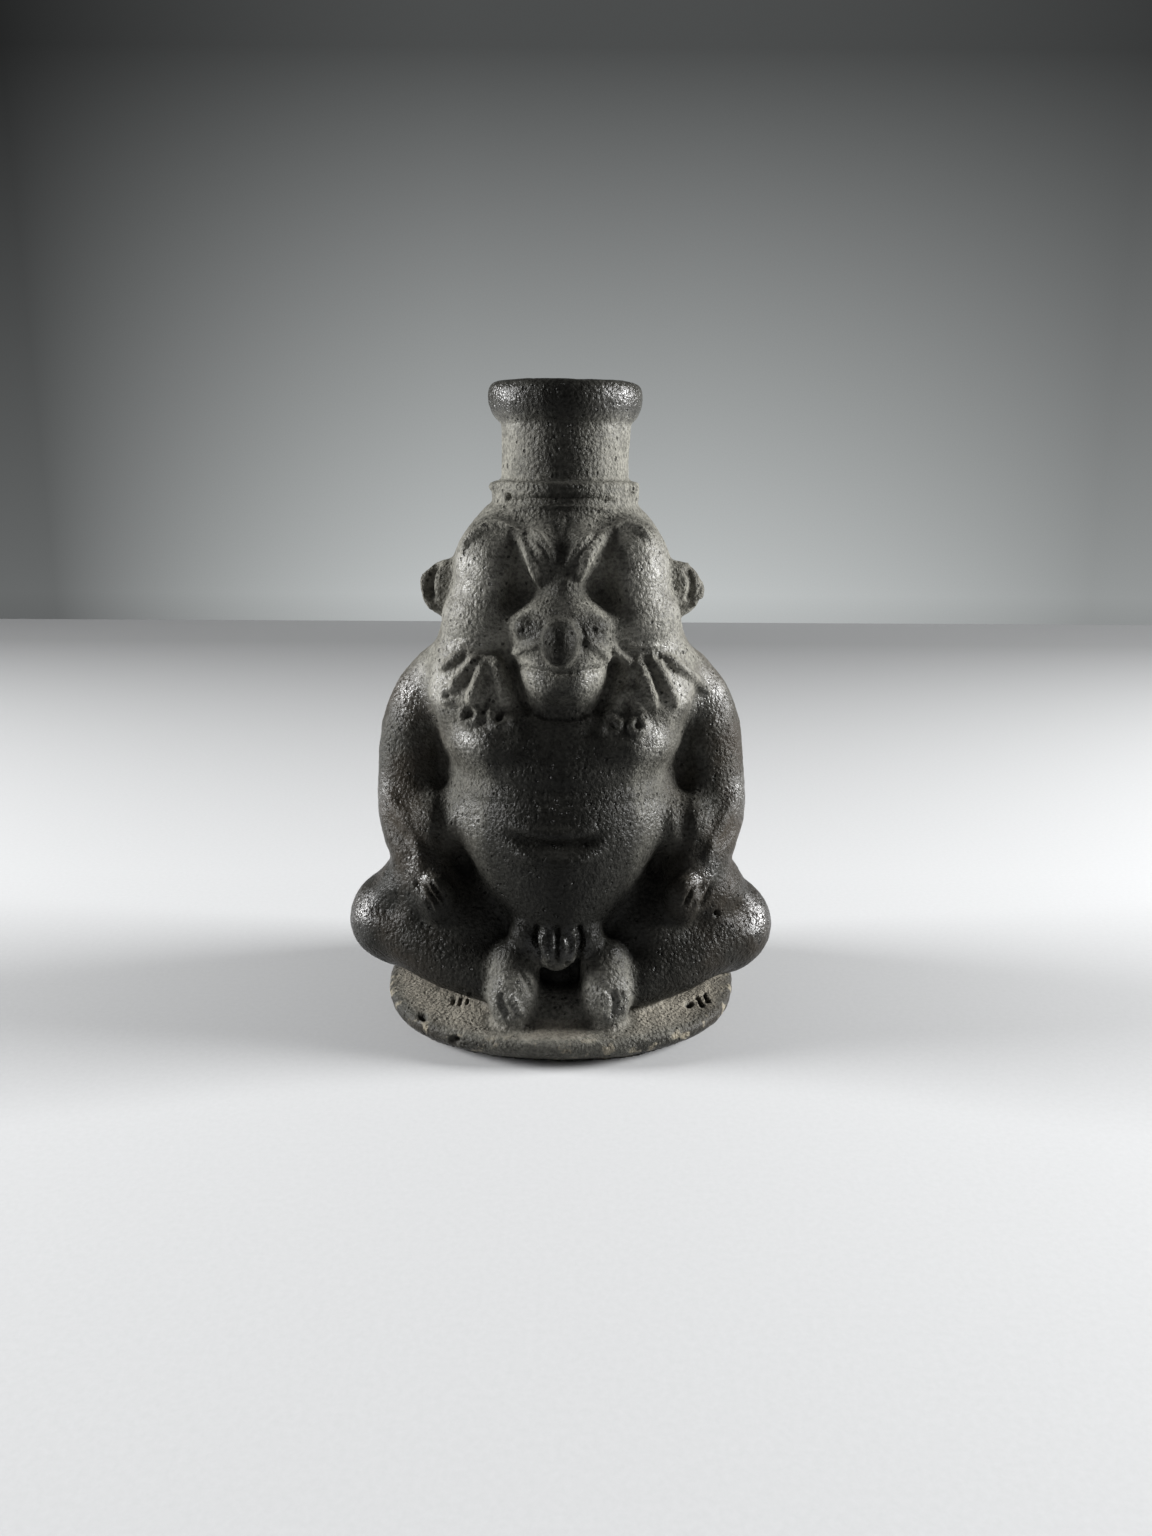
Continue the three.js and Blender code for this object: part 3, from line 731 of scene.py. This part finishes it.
def cloudy(clay, name, size, strength):
    """Uneven, hand-worked surface: lumps of one size, raised and sunk by a strength."""
    grain = bpy.data.textures.new(name, "CLOUDS")
    grain.noise_scale = size * UNIT
    finished(
        clay,
        "DISPLACE",
        texture=grain,
        texture_coords="LOCAL",
        strength=strength * UNIT,
        mid_level=0.5,
    )


def flat_below(clay):
    """Presses the underside flat, as it dried on a board."""
    places = vertex_array(clay)
    places[places[:, 2] < UNDERSIDE_BAND * UNIT, 2] = 0
    clay.data.vertices.foreach_set("co", places.ravel())
    clay.data.update()
    return clay


def figure():
    """The whole bottle as one body of clay, with its marks."""
    clay = pressed(body_lumps(), "clay", COARSE_GRAIN, BODY_SOFTENING)
    clay = pressed([clay, *small_lumps()], "clay", MIDDLE_GRAIN, LUMP_SOFTENING)
    drawn(clay, DEEP_MARKS, towards_camera=True)
    ropes = laid_on(clay, BROW_ROPES + LOCK_ROPES)
    clay = pressed([clay, *ropes, *neck_rings()], "clay", FINE_GRAIN, SKIN_SOFTENING)
    drawn(clay, FACE_MARKS)
    drawn(clay, LOCK_MARKS)
    drawn(clay, BODY_MARKS)
    cloudy(clay, "hand_lumps", *HAND_LUMPS)
    cloudy(clay, "gritty_skin", *GRITTY_SKIN)
    return flat_below(clay)


# Parting into the potter's pieces

HOLLOW_BALLS = {
    "belly": ((0, 1.5, 30), (17, 13, 24.5)),
    "head": ((0, 0, 65), (12, 10.5, 14)),
}
BORE_ROWS = [(72, 6.3), (80, 6.3), (88, 6.3), (96, 6.3), (98.5, 6.5), (99.8, 7.3), (102, 9)]
SEAM_BEHIND_AXIS = 1.2
HALF_SPACE_SIZE = 400
MOULD_GRAIN = 0.6
WELD_GAP = 0.01
CRUMB_VERTICES = 150


def hollowed(clay):
    """The clay with the room for the liquid and the bore taken out."""
    hollow = pressed(
        [*(ball(place, size) for place, size in HOLLOW_BALLS.values()), turned(BORE_ROWS)],
        "hollow",
        COARSE_GRAIN,
        0,
    )
    finished(clay, "BOOLEAN", operation="DIFFERENCE", solver="MANIFOLD", object=hollow)
    discarded(hollow)
    return clay


def mould_of(node, growth):
    """A node's solid, a little larger, that bounds what belongs to its piece."""
    mould = copied(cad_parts[node], "mould")
    finished(mould, "WELD", merge_threshold=WELD_GAP * UNIT)
    finished(mould, "DISPLACE", strength=growth * UNIT, mid_level=0)
    finished(mould, "REMESH", mode="VOXEL", voxel_size=MOULD_GRAIN * UNIT)
    return mould


def without_crumbs(piece):
    """Drops the loose crumbs that the parting leaves."""
    name = piece.name
    pick(piece)
    bpy.ops.mesh.separate(type="LOOSE")
    lumps = sorted(bpy.context.selected_objects, key=lambda lump: -len(lump.data.vertices))
    kept = [lump for lump in lumps if len(lump.data.vertices) >= CRUMB_VERTICES]
    for crumb in lumps[len(kept):]:
        discarded(crumb)
    if len(kept) > 1:
        pick(*kept)
        bpy.ops.object.join()
    kept[0].name = name
    return kept[0]


def taken_off(clay, mould, name):
    """What lies in the mould, taken off the clay as a piece of its own."""
    piece = copied(clay, name)
    finished(piece, "BOOLEAN", operation="INTERSECT", solver="MANIFOLD", object=mould)
    finished(clay, "BOOLEAN", operation="DIFFERENCE", solver="MANIFOLD", object=mould)
    discarded(mould)
    return piece


def half_space():
    """Everything in front of the seam between the two shells."""
    middle = SEAM_BEHIND_AXIS - HALF_SPACE_SIZE / 2
    bpy.ops.mesh.primitive_cube_add(size=HALF_SPACE_SIZE * UNIT, location=spot((0, middle, 0)))
    return settled(bpy.context.object)


LOCK_NODES = [f"beard_lock_{side}_{count}" for side in SIDES for count in (1, 2, 3, 4)]
LIMB_NODES = [f"{name}_{side}" for name in ("ear", "foot", "arm", "leg") for side in SIDES]

# How far each node's mould is grown beyond the node's solid
MOULD_GROWTH = 1.6
LOCK_GROWTH = 1.2
GROWTHS = {"nose": 0.8, "tongue": 0.8, "tail_tuft": 1.3}
GROWTHS.update(dict.fromkeys(LOCK_NODES, LOCK_GROWTH))

# Round moulds that take off all of the clay between two heights: height and radius of each row
ROUND_MOULDS = {
    "base_disc": [(-2, 32), (5.4, 32)],
    "lip_ring": [(94.8, 14), (104, 14)],
    "neck": [(82.3, 10.8), (85.1, 10.8), (85.2, 14), (94.8, 14)],
    "neck_collar": [(82.3, 14), (85.2, 14)],
}
MOULDED_NODES = [*LOCK_NODES, "nose", "tongue", "tail_tuft", *LIMB_NODES]


def parted(clay):
    """The potter's pieces, by the name of the node that each stands for."""
    pieces = {}
    for node, rows in ROUND_MOULDS.items():
        pieces[node] = taken_off(clay, turned(rows, 1), node + "_clay")
    for node in MOULDED_NODES:
        mould = mould_of(node, GROWTHS.get(node, MOULD_GROWTH))
        pieces[node] = taken_off(clay, mould, node + "_clay")
    pieces["front_shell"] = taken_off(clay, half_space(), "front_shell_clay")
    clay.name = "back_shell_clay"
    pieces["back_shell"] = clay
    return {node: without_crumbs(piece) for node, piece in pieces.items()}


# Fired clay

BURNISHED = (0.013, 0.0128, 0.0113, 1)
DUSTY = (0.185, 0.18, 0.156, 1)
BROWN = (0.031, 0.0248, 0.0182, 1)
CHIPPED = (0.28, 0.25, 0.19, 1)
EARTHY = (0.33, 0.3, 0.245, 1)
PIT_DARK = (0.006, 0.006, 0.005, 1)

# Places on the right half that handling has worn to a gloss, how far each reaches, and the
# share of that reach that is worn fully
WORN_CORE = 0.25
WORN_SPOTS = [
    ((23, -8, 53.5), 6),
    ((28.5, -7, 36), 5),
    ((21.5, -17, 27.5), 4),
    ((33, -12, 18), 5.5),
    ((7.5, -25, 9), 5),
    ((15, -14, 71), 8),
    ((14, -14, 62), 6),
    ((16, -19, 36), 5),
    ((11, -6, 97.5), 8),
    ((13, -18, 48), 4),
    ((18, -15, 55), 5),
    ((5, -21, 57), 4),
    ((2.5, -23, 17), 4),
]

# The surface's noises: scale, detail and roughness of each, and the scales of its cells
BROAD_NOISE = (0.12, 3, 0.5)
PATCHY_NOISE = (0.4, 4, 0.6)
FINE_NOISE = (1.9, 2, 0.6)
FINEST_NOISE = (4.4, 2, 0.5)
GRAIN_SCALE = 1.5
PIT_SCALE = 0.85

# How much dusty film lies at each share of the height
DUST_LEVELS = {
    0.0: 0.08,
    0.035: 0.2,
    0.045: 0.95,
    0.053: 0.4,
    0.065: 0.03,
    0.22: 0.03,
    0.34: 0.28,
    0.44: 0.42,
    0.53: 0.5,
    0.6: 0.95,
    0.7: 1.0,
    0.79: 0.75,
    0.86: 0.92,
    0.93: 0.82,
    0.955: 0.14,
}

# The range that most of a noise's values lie in
NOISE_RANGE = (0.3, 0.7)

# Where the belly's front is darkened with painted shade by thinning its dust: its middle's height,
# how far it reaches out and up, and how soft and uneven its edge is
BELLY_MIDDLE = 31
BELLY_REACH = (10.5, 26)
BELLY_EDGE = (0.1, 1.5)
BELLY_UNEVENNESS = (-0.35, 0.35)
BELLY_FRONT = (-14, -4)
BELLY_SHADE = 0.9

# Bands of height: where each begins, is full, begins to end and has ended
BROW_BAND = (65, 69, 79, 82)
BEARD_BAND = (50.5, 53.5, 60, 64)
SLAB_TOP_BAND = (4.2, 4.6, 5, 6.2)

# The middle of the front, darkened with painted shade by thinning its dust: how far out, forward
# and down it goes, how dark it is, and how much narrower and paler it is at the brow and paler at
# the beard
MIDDLE_WIDTHS = (1.5, 8)
MIDDLE_FRONT = (-8, -3)
MIDDLE_FOOT = (6, 9)
MIDDLE_SHADE = 0.84
BROW_NARROWING = 0.8
BROW_PALING = 0.15
BEARD_PALING = 0.5

# The nose's front, darkened with painted shade and made less shiny, and the arms, which are rubbed
# thin of dust
NOSE_FRONT = (-25, -22.6)
NOSE_FOOT = (58, 60)
NOSE_WIDTHS = (3, 4.2)
NOSE_SHADE = 0.95
NOSE_SHINE_LOSS = 0.7
ARM_WIDTHS = (17, 22)
ARM_TOPS = (50, 56)
ARM_BARE = 0.5

# The feet and the beard, where dust gathers
FOOT_FRONT = (-21, -19)
FOOT_TOPS = (13, 16)
FOOT_WIDTHS = (10.5, 12.5)
FOOT_DUST = 0.48
BEARD_FRONT = (-12, -8)
BEARD_WIDTHS = (1.5, 5)

# A foot's place on the slab, and the ring around it with less dust and earth: partly the feet's
# own darker lower ends, partly painted contact shade on the slab
FOOT_PLACE = (7.3, -22.6, 0)
FOOT_SHADE_RING = (4, 5.6)
FOOT_SHADE_DUST = 0.25

# How much the dust varies with the patchy noise and with the fine one
DUST_PATCHES = (0.6, 1.15)
DUST_GRAIN_RANGE = (0.36, 0.64)
DUST_GRAIN = (0.62, 1.3)
BURNISH_GRAIN = (0.65, 1.45)

# Brown flanks, pits, earth on the slab and chips: where they lie and how strong they are
BROWN_PATCHES = (0.38, 0.6)
BROWN_WIDTHS = (12, 26)
BROWN_HEIGHTS = (18, 28)
BROWN_SHARES = (0.45, 0.75)
PIT_WIDTHS = (0.14, 0.26)
PIT_PATCHES = (0.46, 0.56)
PIT_SHARE = 0.7
EARTH_GRAIN_RANGE = (0.3, 0.6)
EARTH_SHARES = (0.25, 0.55)
CHIP_PATCHES = (0.57, 0.64)
CHIP_TOPS = (3.6, 4.8)
CHIP_SHARE = 0.6

# Gloss: roughness of bare and of dusty clay, and what wear takes off it and adds to the shine
GLOSS_DUST_RANGE = (0.05, 0.7)
ROUGHNESSES = (0.32, 0.54)
ROUGHNESS_GRAIN = (-0.08, 0.08)
WORN_SMOOTHING = 0.14
WORN_PATCHES = (0.35, 0.6)
WORN_SHARES = (0.3, 1)
PLAIN_SHINE = 0.07
WORN_SHINE = 0.42

# Relief: how deep it goes, what its noises and pits add, and how dust and wear change it
RELIEF_DEPTH = 0.3
FINE_RELIEF = 0.9
GRAIN_WIDTH = 0.75
GRAIN_RELIEF = 0.35
FINEST_RELIEF = 0.3
PIT_RELIEF = 0.8
DUSTY_RANGE = (0, 0.5)
BARE_RELIEF = 0.75
WORN_RELIEF = 0.6


class Shader:
    """A small helper that adds and links a material's nodes."""

    def __init__(self, name):
        self.material = bpy.data.materials.new(name)
        self.material.use_nodes = True
        self.tree = self.material.node_tree
        self.tree.nodes.clear()

    def node(self, kind, *, out=0, inputs=None, **settings):
        made = self.tree.nodes.new(kind)
        for key, value in settings.items():
            setattr(made, key, value)
        for key, value in (inputs or {}).items():
            if isinstance(value, bpy.types.NodeSocket):
                self.tree.links.new(value, made.inputs[key])
            else:
                made.inputs[key].default_value = value
        return made.outputs[out]

    def finished(self, surface):
        output = self.tree.nodes.new("ShaderNodeOutputMaterial")
        self.tree.links.new(surface, output.inputs["Surface"])
        return self.material

    def noise(self, coords, scale, detail, roughness):
        return self.node(
            "ShaderNodeTexNoise",
            inputs={"Vector": coords, "Scale": scale, "Detail": detail, "Roughness": roughness},
        )

    def cells(self, coords, scale):
        return self.node("ShaderNodeTexVoronoi", inputs={"Vector": coords, "Scale": scale})

    def span(self, value, low, high, to_low=0.0, to_high=1.0):
        """A value mapped from one range to another, and kept in it."""
        return self.node(
            "ShaderNodeMapRange",
            inputs={0: value, 1: low, 2: high, 3: to_low, 4: to_high},
            clamp=True,
        )

    def fall(self, value, low, high, top=1.0):
        """The top below the low value and 0 above the high one."""
        return self.span(value, low, high, top, 0.0)

    def band(self, value, begins, full, ending, ended):
        """1 between two values, with a soft beginning and a soft end."""
        return self.product(self.span(value, begins, full), self.fall(value, ending, ended))

    def math(self, operation, first, second):
        return self.node("ShaderNodeMath", operation=operation, inputs={0: first, 1: second})

    def product(self, first, *others):
        for other in others:
            first = self.math("MULTIPLY", first, other)
        return first

    def total(self, first, *others):
        for other in others:
            first = self.math("ADD", first, other)
        return first

    def largest(self, first, *others):
        for other in others:
            first = self.math("MAXIMUM", first, other)
        return first

    def without(self, value, share):
        """A value with a share of it taken away."""
        return self.product(value, self.math("SUBTRACT", 1, share))

    def distance(self, place, point):
        return self.node(
            "ShaderNodeVectorMath", out=1, operation="DISTANCE", inputs={0: place, 1: point}
        )

    def scaled(self, tone, amount):
        return self.node(
            "ShaderNodeVectorMath", operation="SCALE", inputs={0: tone[:3], "Scale": amount}
        )

    def mix(self, share, first, second):
        return self.node(
            "ShaderNodeMix",
            out=2,
            data_type="RGBA",
            inputs={0: share, 6: first, 7: second},
        )


def hundredths(shader):
    """A piece's own coordinates, in hundredths of the bottle's height."""
    coords = shader.node("ShaderNodeTexCoord", out=3)
    return shader.node("ShaderNodeMapping", inputs={"Vector": coords, "Scale": (1 / UNIT,) * 3})


class Clay(Shader):
    """Fired clay: where a point lies on the bottle, and the noises of its surface."""

    def __init__(self, name):
        super().__init__(name)
        coords = hundredths(self)
        across = self.node("ShaderNodeSeparateXYZ", out=0, inputs={0: coords})
        self.outwards = self.math("ABSOLUTE", across, 0)
        self.back = across.node.outputs[1]
        self.height = across.node.outputs[2]
        self.broad = self.noise(coords, *BROAD_NOISE)
        self.patchy = self.noise(coords, *PATCHY_NOISE)
        self.fine = self.noise(coords, *FINE_NOISE)
        self.finest = self.noise(coords, *FINEST_NOISE)
        self.grains = self.cells(coords, GRAIN_SCALE)
        self.pit_cells = self.cells(coords, PIT_SCALE)
        self.beard_band = self.band(self.height, *BEARD_BAND)
        # Painted contact shade round the feet, and the nose's front, which is darkened with
        # painted shade and made less shiny
        self.foot_contact_shade = self.painted_foot_shade()
        self.nose_shade_and_matt = self.product(
            self.fall(self.back, *NOSE_FRONT, NOSE_SHADE),
            self.span(self.height, *NOSE_FOOT),
            self.fall(self.outwards, *NOSE_WIDTHS),
        )

    def painted_foot_shade(self):
        # Partly painted contact shade: dust and earth are thinned in a ring round each foot
        flat = self.node("ShaderNodeCombineXYZ", inputs={0: self.outwards, 1: self.back})
        return self.span(self.distance(flat, FOOT_PLACE), *FOOT_SHADE_RING, FOOT_SHADE_DUST, 1)


def dust_by_height(clay):
    share = clay.math("DIVIDE", clay.height, WHOLE_HEIGHT)
    zones = clay.node("ShaderNodeValToRGB", inputs={0: share})
    ramp = zones.node.color_ramp
    while len(ramp.elements) < len(DUST_LEVELS):
        ramp.elements.new(0.5)
    for element, (position, level) in zip(ramp.elements, DUST_LEVELS.items()):
        element.position = position
        element.color = (level, level, level, 1)
    return zones


def belly_front_shade(clay):
    """Painted shade: how far the dust is thinned on the front of the belly and chest, with an
    uneven edge.
    """
    above = clay.math("SUBTRACT", clay.height, BELLY_MIDDLE)
    sideways = clay.math("POWER", clay.math("DIVIDE", clay.outwards, BELLY_REACH[0]), 2)
    upwards = clay.math("POWER", clay.math("DIVIDE", above, BELLY_REACH[1]), 2)
    unevenness = clay.span(clay.patchy, *NOISE_RANGE, *BELLY_UNEVENNESS)
    reach = clay.total(sideways, upwards, unevenness)
    return clay.product(
        clay.fall(reach, *BELLY_EDGE, BELLY_SHADE), clay.fall(clay.back, *BELLY_FRONT)
    )


def middle_front_shade(clay):
    """Painted shade: how far the dust is thinned down the middle of the front, from the lap to the
    neck, and on the nose's front.
    """
    brow_band = clay.band(clay.height, *BROW_BAND)
    narrowing = clay.total(1, clay.product(brow_band, BROW_NARROWING))
    middle = clay.product(
        clay.fall(clay.product(clay.outwards, narrowing), *MIDDLE_WIDTHS, MIDDLE_SHADE),
        clay.fall(clay.back, *MIDDLE_FRONT),
    )
    middle = clay.without(middle, clay.product(brow_band, BROW_PALING))
    middle = clay.product(middle, clay.span(clay.height, *MIDDLE_FOOT))
    middle = clay.without(middle, clay.product(clay.beard_band, BEARD_PALING))
    return clay.largest(middle, clay.nose_shade_and_matt)


def dust_film(clay, gain):
    """How thickly the pale dust lies: thin where hands rub, thick in the beard and on the feet,
    and thinned as painted shade down the front's middle, on the belly and round the feet.
    """
    arms = clay.product(
        clay.span(clay.outwards, *ARM_WIDTHS, 0, ARM_BARE), clay.fall(clay.height, *ARM_TOPS)
    )
    feet = clay.product(
        clay.fall(clay.back, *FOOT_FRONT, FOOT_DUST),
        clay.fall(clay.height, *FOOT_TOPS),
        clay.fall(clay.outwards, *FOOT_WIDTHS),
    )
    beard = clay.product(
        clay.beard_band,
        clay.span(clay.outwards, *BEARD_WIDTHS),
        clay.fall(clay.back, *BEARD_FRONT),
    )
    # Painted shade: the dust is thinned on the belly's front, down the middle of the front and
    # round the feet
    dust = clay.without(dust_by_height(clay), belly_front_shade(clay))
    dust = clay.without(dust, middle_front_shade(clay))
    dust = clay.product(clay.without(dust, arms), clay.foot_contact_shade)
    return clay.product(
        clay.largest(dust, feet, beard),
        clay.span(clay.patchy, *NOISE_RANGE, *DUST_PATCHES),
        clay.span(clay.fine, *DUST_GRAIN_RANGE, *DUST_GRAIN),
        gain,
    )


def clay_tone(clay, dust, pits):
    """Dark burnish under dust, brown flanks, dark pits, earth on the slab, thinned round the feet
    as painted contact shade, and pale chips.
    """
    tone = clay.scaled(BURNISHED, clay.span(clay.fine, *NOISE_RANGE, *BURNISH_GRAIN))
    tone = clay.mix(dust, tone, DUSTY)
    flanks = clay.product(
        clay.span(clay.broad, *BROWN_PATCHES),
        clay.span(clay.outwards, *BROWN_WIDTHS),
        clay.span(clay.height, *BROWN_HEIGHTS, *BROWN_SHARES),
    )
    tone = clay.mix(flanks, tone, BROWN)
    tone = clay.mix(clay.product(pits, PIT_SHARE), tone, PIT_DARK)
    # Earth on the slab, thinned round the feet as painted contact shade
    slab_top = clay.product(
        clay.band(clay.height, *SLAB_TOP_BAND),
        clay.span(clay.fine, *EARTH_GRAIN_RANGE, *EARTH_SHARES),
        clay.foot_contact_shade,
    )
    tone = clay.mix(slab_top, tone, EARTHY)
    chips = clay.product(
        clay.span(clay.patchy, *CHIP_PATCHES), clay.fall(clay.height, *CHIP_TOPS), CHIP_SHARE
    )
    return clay.mix(chips, tone, CHIPPED)


def worn_gloss(clay):
    """How far handling has worn the clay to a gloss, the same on both sides."""
    folded = clay.node(
        "ShaderNodeCombineXYZ", inputs={0: clay.outwards, 1: clay.back, 2: clay.height}
    )
    spots = [
        clay.span(clay.distance(folded, place), reach, reach * WORN_CORE)
        for place, reach in WORN_SPOTS
    ]
    patches = clay.span(clay.patchy, *WORN_PATCHES, *WORN_SHARES)
    return clay.product(clay.largest(*spots), patches)


def clay_relief(clay, dust, worn, pits):
    """Grain and pits, a little smoother where the clay is bare or worn."""
    relief = clay.total(
        clay.product(clay.fine, FINE_RELIEF),
        clay.product(clay.fall(clay.grains, 0, GRAIN_WIDTH), GRAIN_RELIEF),
        clay.product(clay.finest, FINEST_RELIEF),
    )
    relief = clay.product(
        relief,
        clay.span(dust, *DUSTY_RANGE, BARE_RELIEF, 1),
        clay.span(worn, 0, 1, 1, WORN_RELIEF),
    )
    relief = clay.math("SUBTRACT", relief, clay.product(pits, PIT_RELIEF))
    return clay.node(
        "ShaderNodeBump",
        inputs={"Strength": 1.0, "Distance": RELIEF_DEPTH * UNIT, "Height": relief},
    )


def fired_clay(name, dust_gain):
    """Dark reduced clay: worn burnish, a pale dusty film thinned in places as painted shade, brown
    patches, pits and chips.
    """
    clay = Clay(name)
    dust = dust_film(clay, dust_gain)
    pits = clay.product(
        clay.fall(clay.pit_cells, *PIT_WIDTHS), clay.span(clay.patchy, *PIT_PATCHES)
    )
    worn = worn_gloss(clay)
    roughness = clay.total(
        clay.span(dust, *GLOSS_DUST_RANGE, *ROUGHNESSES),
        clay.span(clay.fine, *NOISE_RANGE, *ROUGHNESS_GRAIN),
    )
    roughness = clay.math("SUBTRACT", roughness, clay.product(worn, WORN_SMOOTHING))
    shine = clay.total(PLAIN_SHINE, clay.product(worn, WORN_SHINE))
    shine = clay.without(shine, clay.product(clay.nose_shade_and_matt, NOSE_SHINE_LOSS))
    surface = clay.node(
        "ShaderNodeBsdfPrincipled",
        inputs={
            "Base Color": clay_tone(clay, dust, pits),
            "Roughness": roughness,
            "Normal": clay_relief(clay, dust, worn, pits),
            "Specular IOR Level": shine,
        },
    )
    return clay.finished(surface)


DUSTY_PIECES = {"base_disc", "neck", "neck_collar", "ear_left", "ear_right", *LOCK_NODES}
DUST_GAINS = {"burnished_clay": 1.0, "dusty_clay": 1.05}
SHARP_EDGE_DEGREES = 50


def dressed(pieces):
    """Gives each piece its clay, its body and its node."""
    finishes = {slot: fired_clay(slot, gain) for slot, gain in DUST_GAINS.items()}
    for node, piece in pieces.items():
        slot = "dusty_clay" if node in DUSTY_PIECES else "burnished_clay"
        piece.data.materials.clear()
        piece.data.materials.append(finishes[slot])
        pick(piece)
        bpy.ops.object.shade_smooth_by_angle(angle=math.radians(SHARP_EDGE_DEGREES))
        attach(piece, "root")
        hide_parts(node)


# Camera, floor and light

FLOOR_FRONT = -600
FLOOR_BACK = 505
FLOOR_HALF_WIDTH = 1500
BACKDROP_HEIGHT = 1500
FLOOR_TONE = (0.46, 0.465, 0.47, 1)
BACKDROP_TONE = (0.47, 0.49, 0.49, 1)

# Where the floor darkens towards the backdrop and towards the camera, and to which share
DARKENS_BEHIND = (60, 420)
DARKENS_IN_FRONT = (-113, -160)
FLOOR_SHADE_BEHIND = 0.4
FLOOR_SHADE_IN_FRONT = 0.06

# How bright the backdrop is at the floor and high up, how much it darkens just above the
# floor and at both sides, and how late each darkening sets in
BACKDROP_LEVELS = (1.2, 0.15)
BACKDROP_TOP = 300
TOP_CURVE = 0.8
HORIZON_BAND = (0, 16)
HORIZON_SHADE = 0.84
SIDE_REACH = (60, 300)
LEFT_SHADE = 0.26
LEFT_CURVE = 1.4
RIGHT_SHADE = 0.58
RIGHT_CURVE = 1.6

PAPER_NOISE = (1.2, 4, 0.7)
PAPER_SPECKLE = (0.97, 1.03)
PAPER_ROUGHNESS = 0.9
NEAREST_METRES = 0.01


def camera():
    lens = bpy.data.cameras.new("camera")
    lens.lens = LENS_MM
    lens.sensor_width = SENSOR_MM
    lens.clip_start = NEAREST_METRES
    viewer = bpy.data.objects.new("camera", lens)
    bpy.context.scene.collection.objects.link(viewer)
    right, up, forward = camera_axes()
    turn = Matrix([right, up, -forward]).transposed()
    viewer.matrix_world = Matrix.Translation(spot(EYE)) @ turn.to_4x4()
    bpy.context.scene.camera = viewer


def paper(name):
    """Matt paper with a faint speckle."""
    shader = Shader(name)
    coords = hundredths(shader)
    speckle = shader.span(shader.noise(coords, *PAPER_NOISE), *NOISE_RANGE, *PAPER_SPECKLE)
    return shader, coords, speckle


def floor_paper():
    shader, coords, speckle = paper("pale_floor")
    depth = shader.node("ShaderNodeSeparateXYZ", out=1, inputs={0: coords})
    level = shader.product(
        speckle,
        shader.span(depth, *DARKENS_BEHIND, 1, FLOOR_SHADE_BEHIND),
        shader.span(depth, *DARKENS_IN_FRONT, 1, FLOOR_SHADE_IN_FRONT),
    )
    tone = shader.scaled(FLOOR_TONE, level)
    surface = shader.node(
        "ShaderNodeBsdfPrincipled", inputs={"Base Color": tone, "Roughness": PAPER_ROUGHNESS}
    )
    return shader.finished(surface)


def backdrop_paper():
    """Grey paper that darkens upwards and to both sides, as the camera and glossy clay see it."""
    shader, coords, speckle = paper("grey_backdrop")
    across = shader.node("ShaderNodeSeparateXYZ", out=0, inputs={0: coords})
    height = across.node.outputs[2]
    near, far = SIDE_REACH
    upwards = shader.math("POWER", shader.span(height, 0, BACKDROP_TOP), TOP_CURVE)
    leftwards = shader.math("POWER", shader.span(across, -near, -far), LEFT_CURVE)
    rightwards = shader.math("POWER", shader.span(across, near, far), RIGHT_CURVE)
    level = shader.product(
        shader.span(upwards, 0, 1, *BACKDROP_LEVELS),
        shader.span(height, *HORIZON_BAND, HORIZON_SHADE, 1),
        shader.span(leftwards, 0, 1, 1, LEFT_SHADE),
        shader.span(rightwards, 0, 1, 1, RIGHT_SHADE),
        speckle,
    )
    tone = shader.scaled(BACKDROP_TONE, level)
    glow = shader.node("ShaderNodeEmission", inputs={"Color": tone, "Strength": 1.0})
    matt = shader.node("ShaderNodeBsdfDiffuse", inputs={"Color": tone})
    seen = shader.node("ShaderNodeLightPath", out="Is Camera Ray")
    glossy = seen.node.outputs["Is Glossy Ray"]
    through = seen.node.outputs["Is Transmission Ray"]
    share = shader.largest(seen, glossy, through)
    surface = shader.node("ShaderNodeMixShader", inputs={0: share, 1: matt, 2: glow})
    return shader.finished(surface)


def stage():
    """A pale floor and a grey backdrop."""
    bpy.ops.object.select_all(action="DESELECT")
    width = 2 * FLOOR_HALF_WIDTH * UNIT
    middle = (FLOOR_FRONT + FLOOR_BACK) / 2
    bpy.ops.mesh.primitive_plane_add(size=1, location=spot((0, middle, 0)))
    floor = bpy.context.object
    floor.scale = (width, (FLOOR_BACK - FLOOR_FRONT) * UNIT, 1)
    settled(floor).name = "floor"
    floor.data.materials.append(floor_paper())
    bpy.ops.mesh.primitive_plane_add(size=1, location=spot((0, FLOOR_BACK, BACKDROP_HEIGHT / 2)))
    backdrop = bpy.context.object
    backdrop.scale = (width, BACKDROP_HEIGHT * UNIT, 1)
    backdrop.rotation_euler = (math.pi / 2, 0, 0)
    settled(backdrop).name = "backdrop"
    backdrop.data.materials.append(backdrop_paper())


# Each lamp's place, what it points at, its size and its power in watts
LAMPS = {
    "left_box": ((-700, 30, 240), (0, 0, 45), 280, 12.4),
    "right_box": ((700, 30, 240), (0, 0, 45), 280, 15.6),
}
ROOM_TONE = (0.5, 0.5, 0.52, 1)
ROOM_STRENGTH = 0.18


def lights():
    for name, (place, target, size, power) in LAMPS.items():
        lamp = bpy.data.lights.new(name, "AREA")
        lamp.shape = "SQUARE"
        lamp.size = size * UNIT
        lamp.energy = power
        light = bpy.data.objects.new(name, lamp)
        bpy.context.scene.collection.objects.link(light)
        light.location = spot(place)
        light.rotation_euler = (spot(target) - spot(place)).to_track_quat("-Z", "Y").to_euler()
    world = bpy.data.worlds.new("room")
    world.use_nodes = True
    ground = world.node_tree.nodes["Background"]
    ground.inputs["Color"].default_value = ROOM_TONE
    ground.inputs["Strength"].default_value = ROOM_STRENGTH
    bpy.context.scene.world = world
    bpy.context.scene.view_settings.view_transform = "Standard"


camera()
stage()
lights()
dressed(parted(hollowed(figure())))
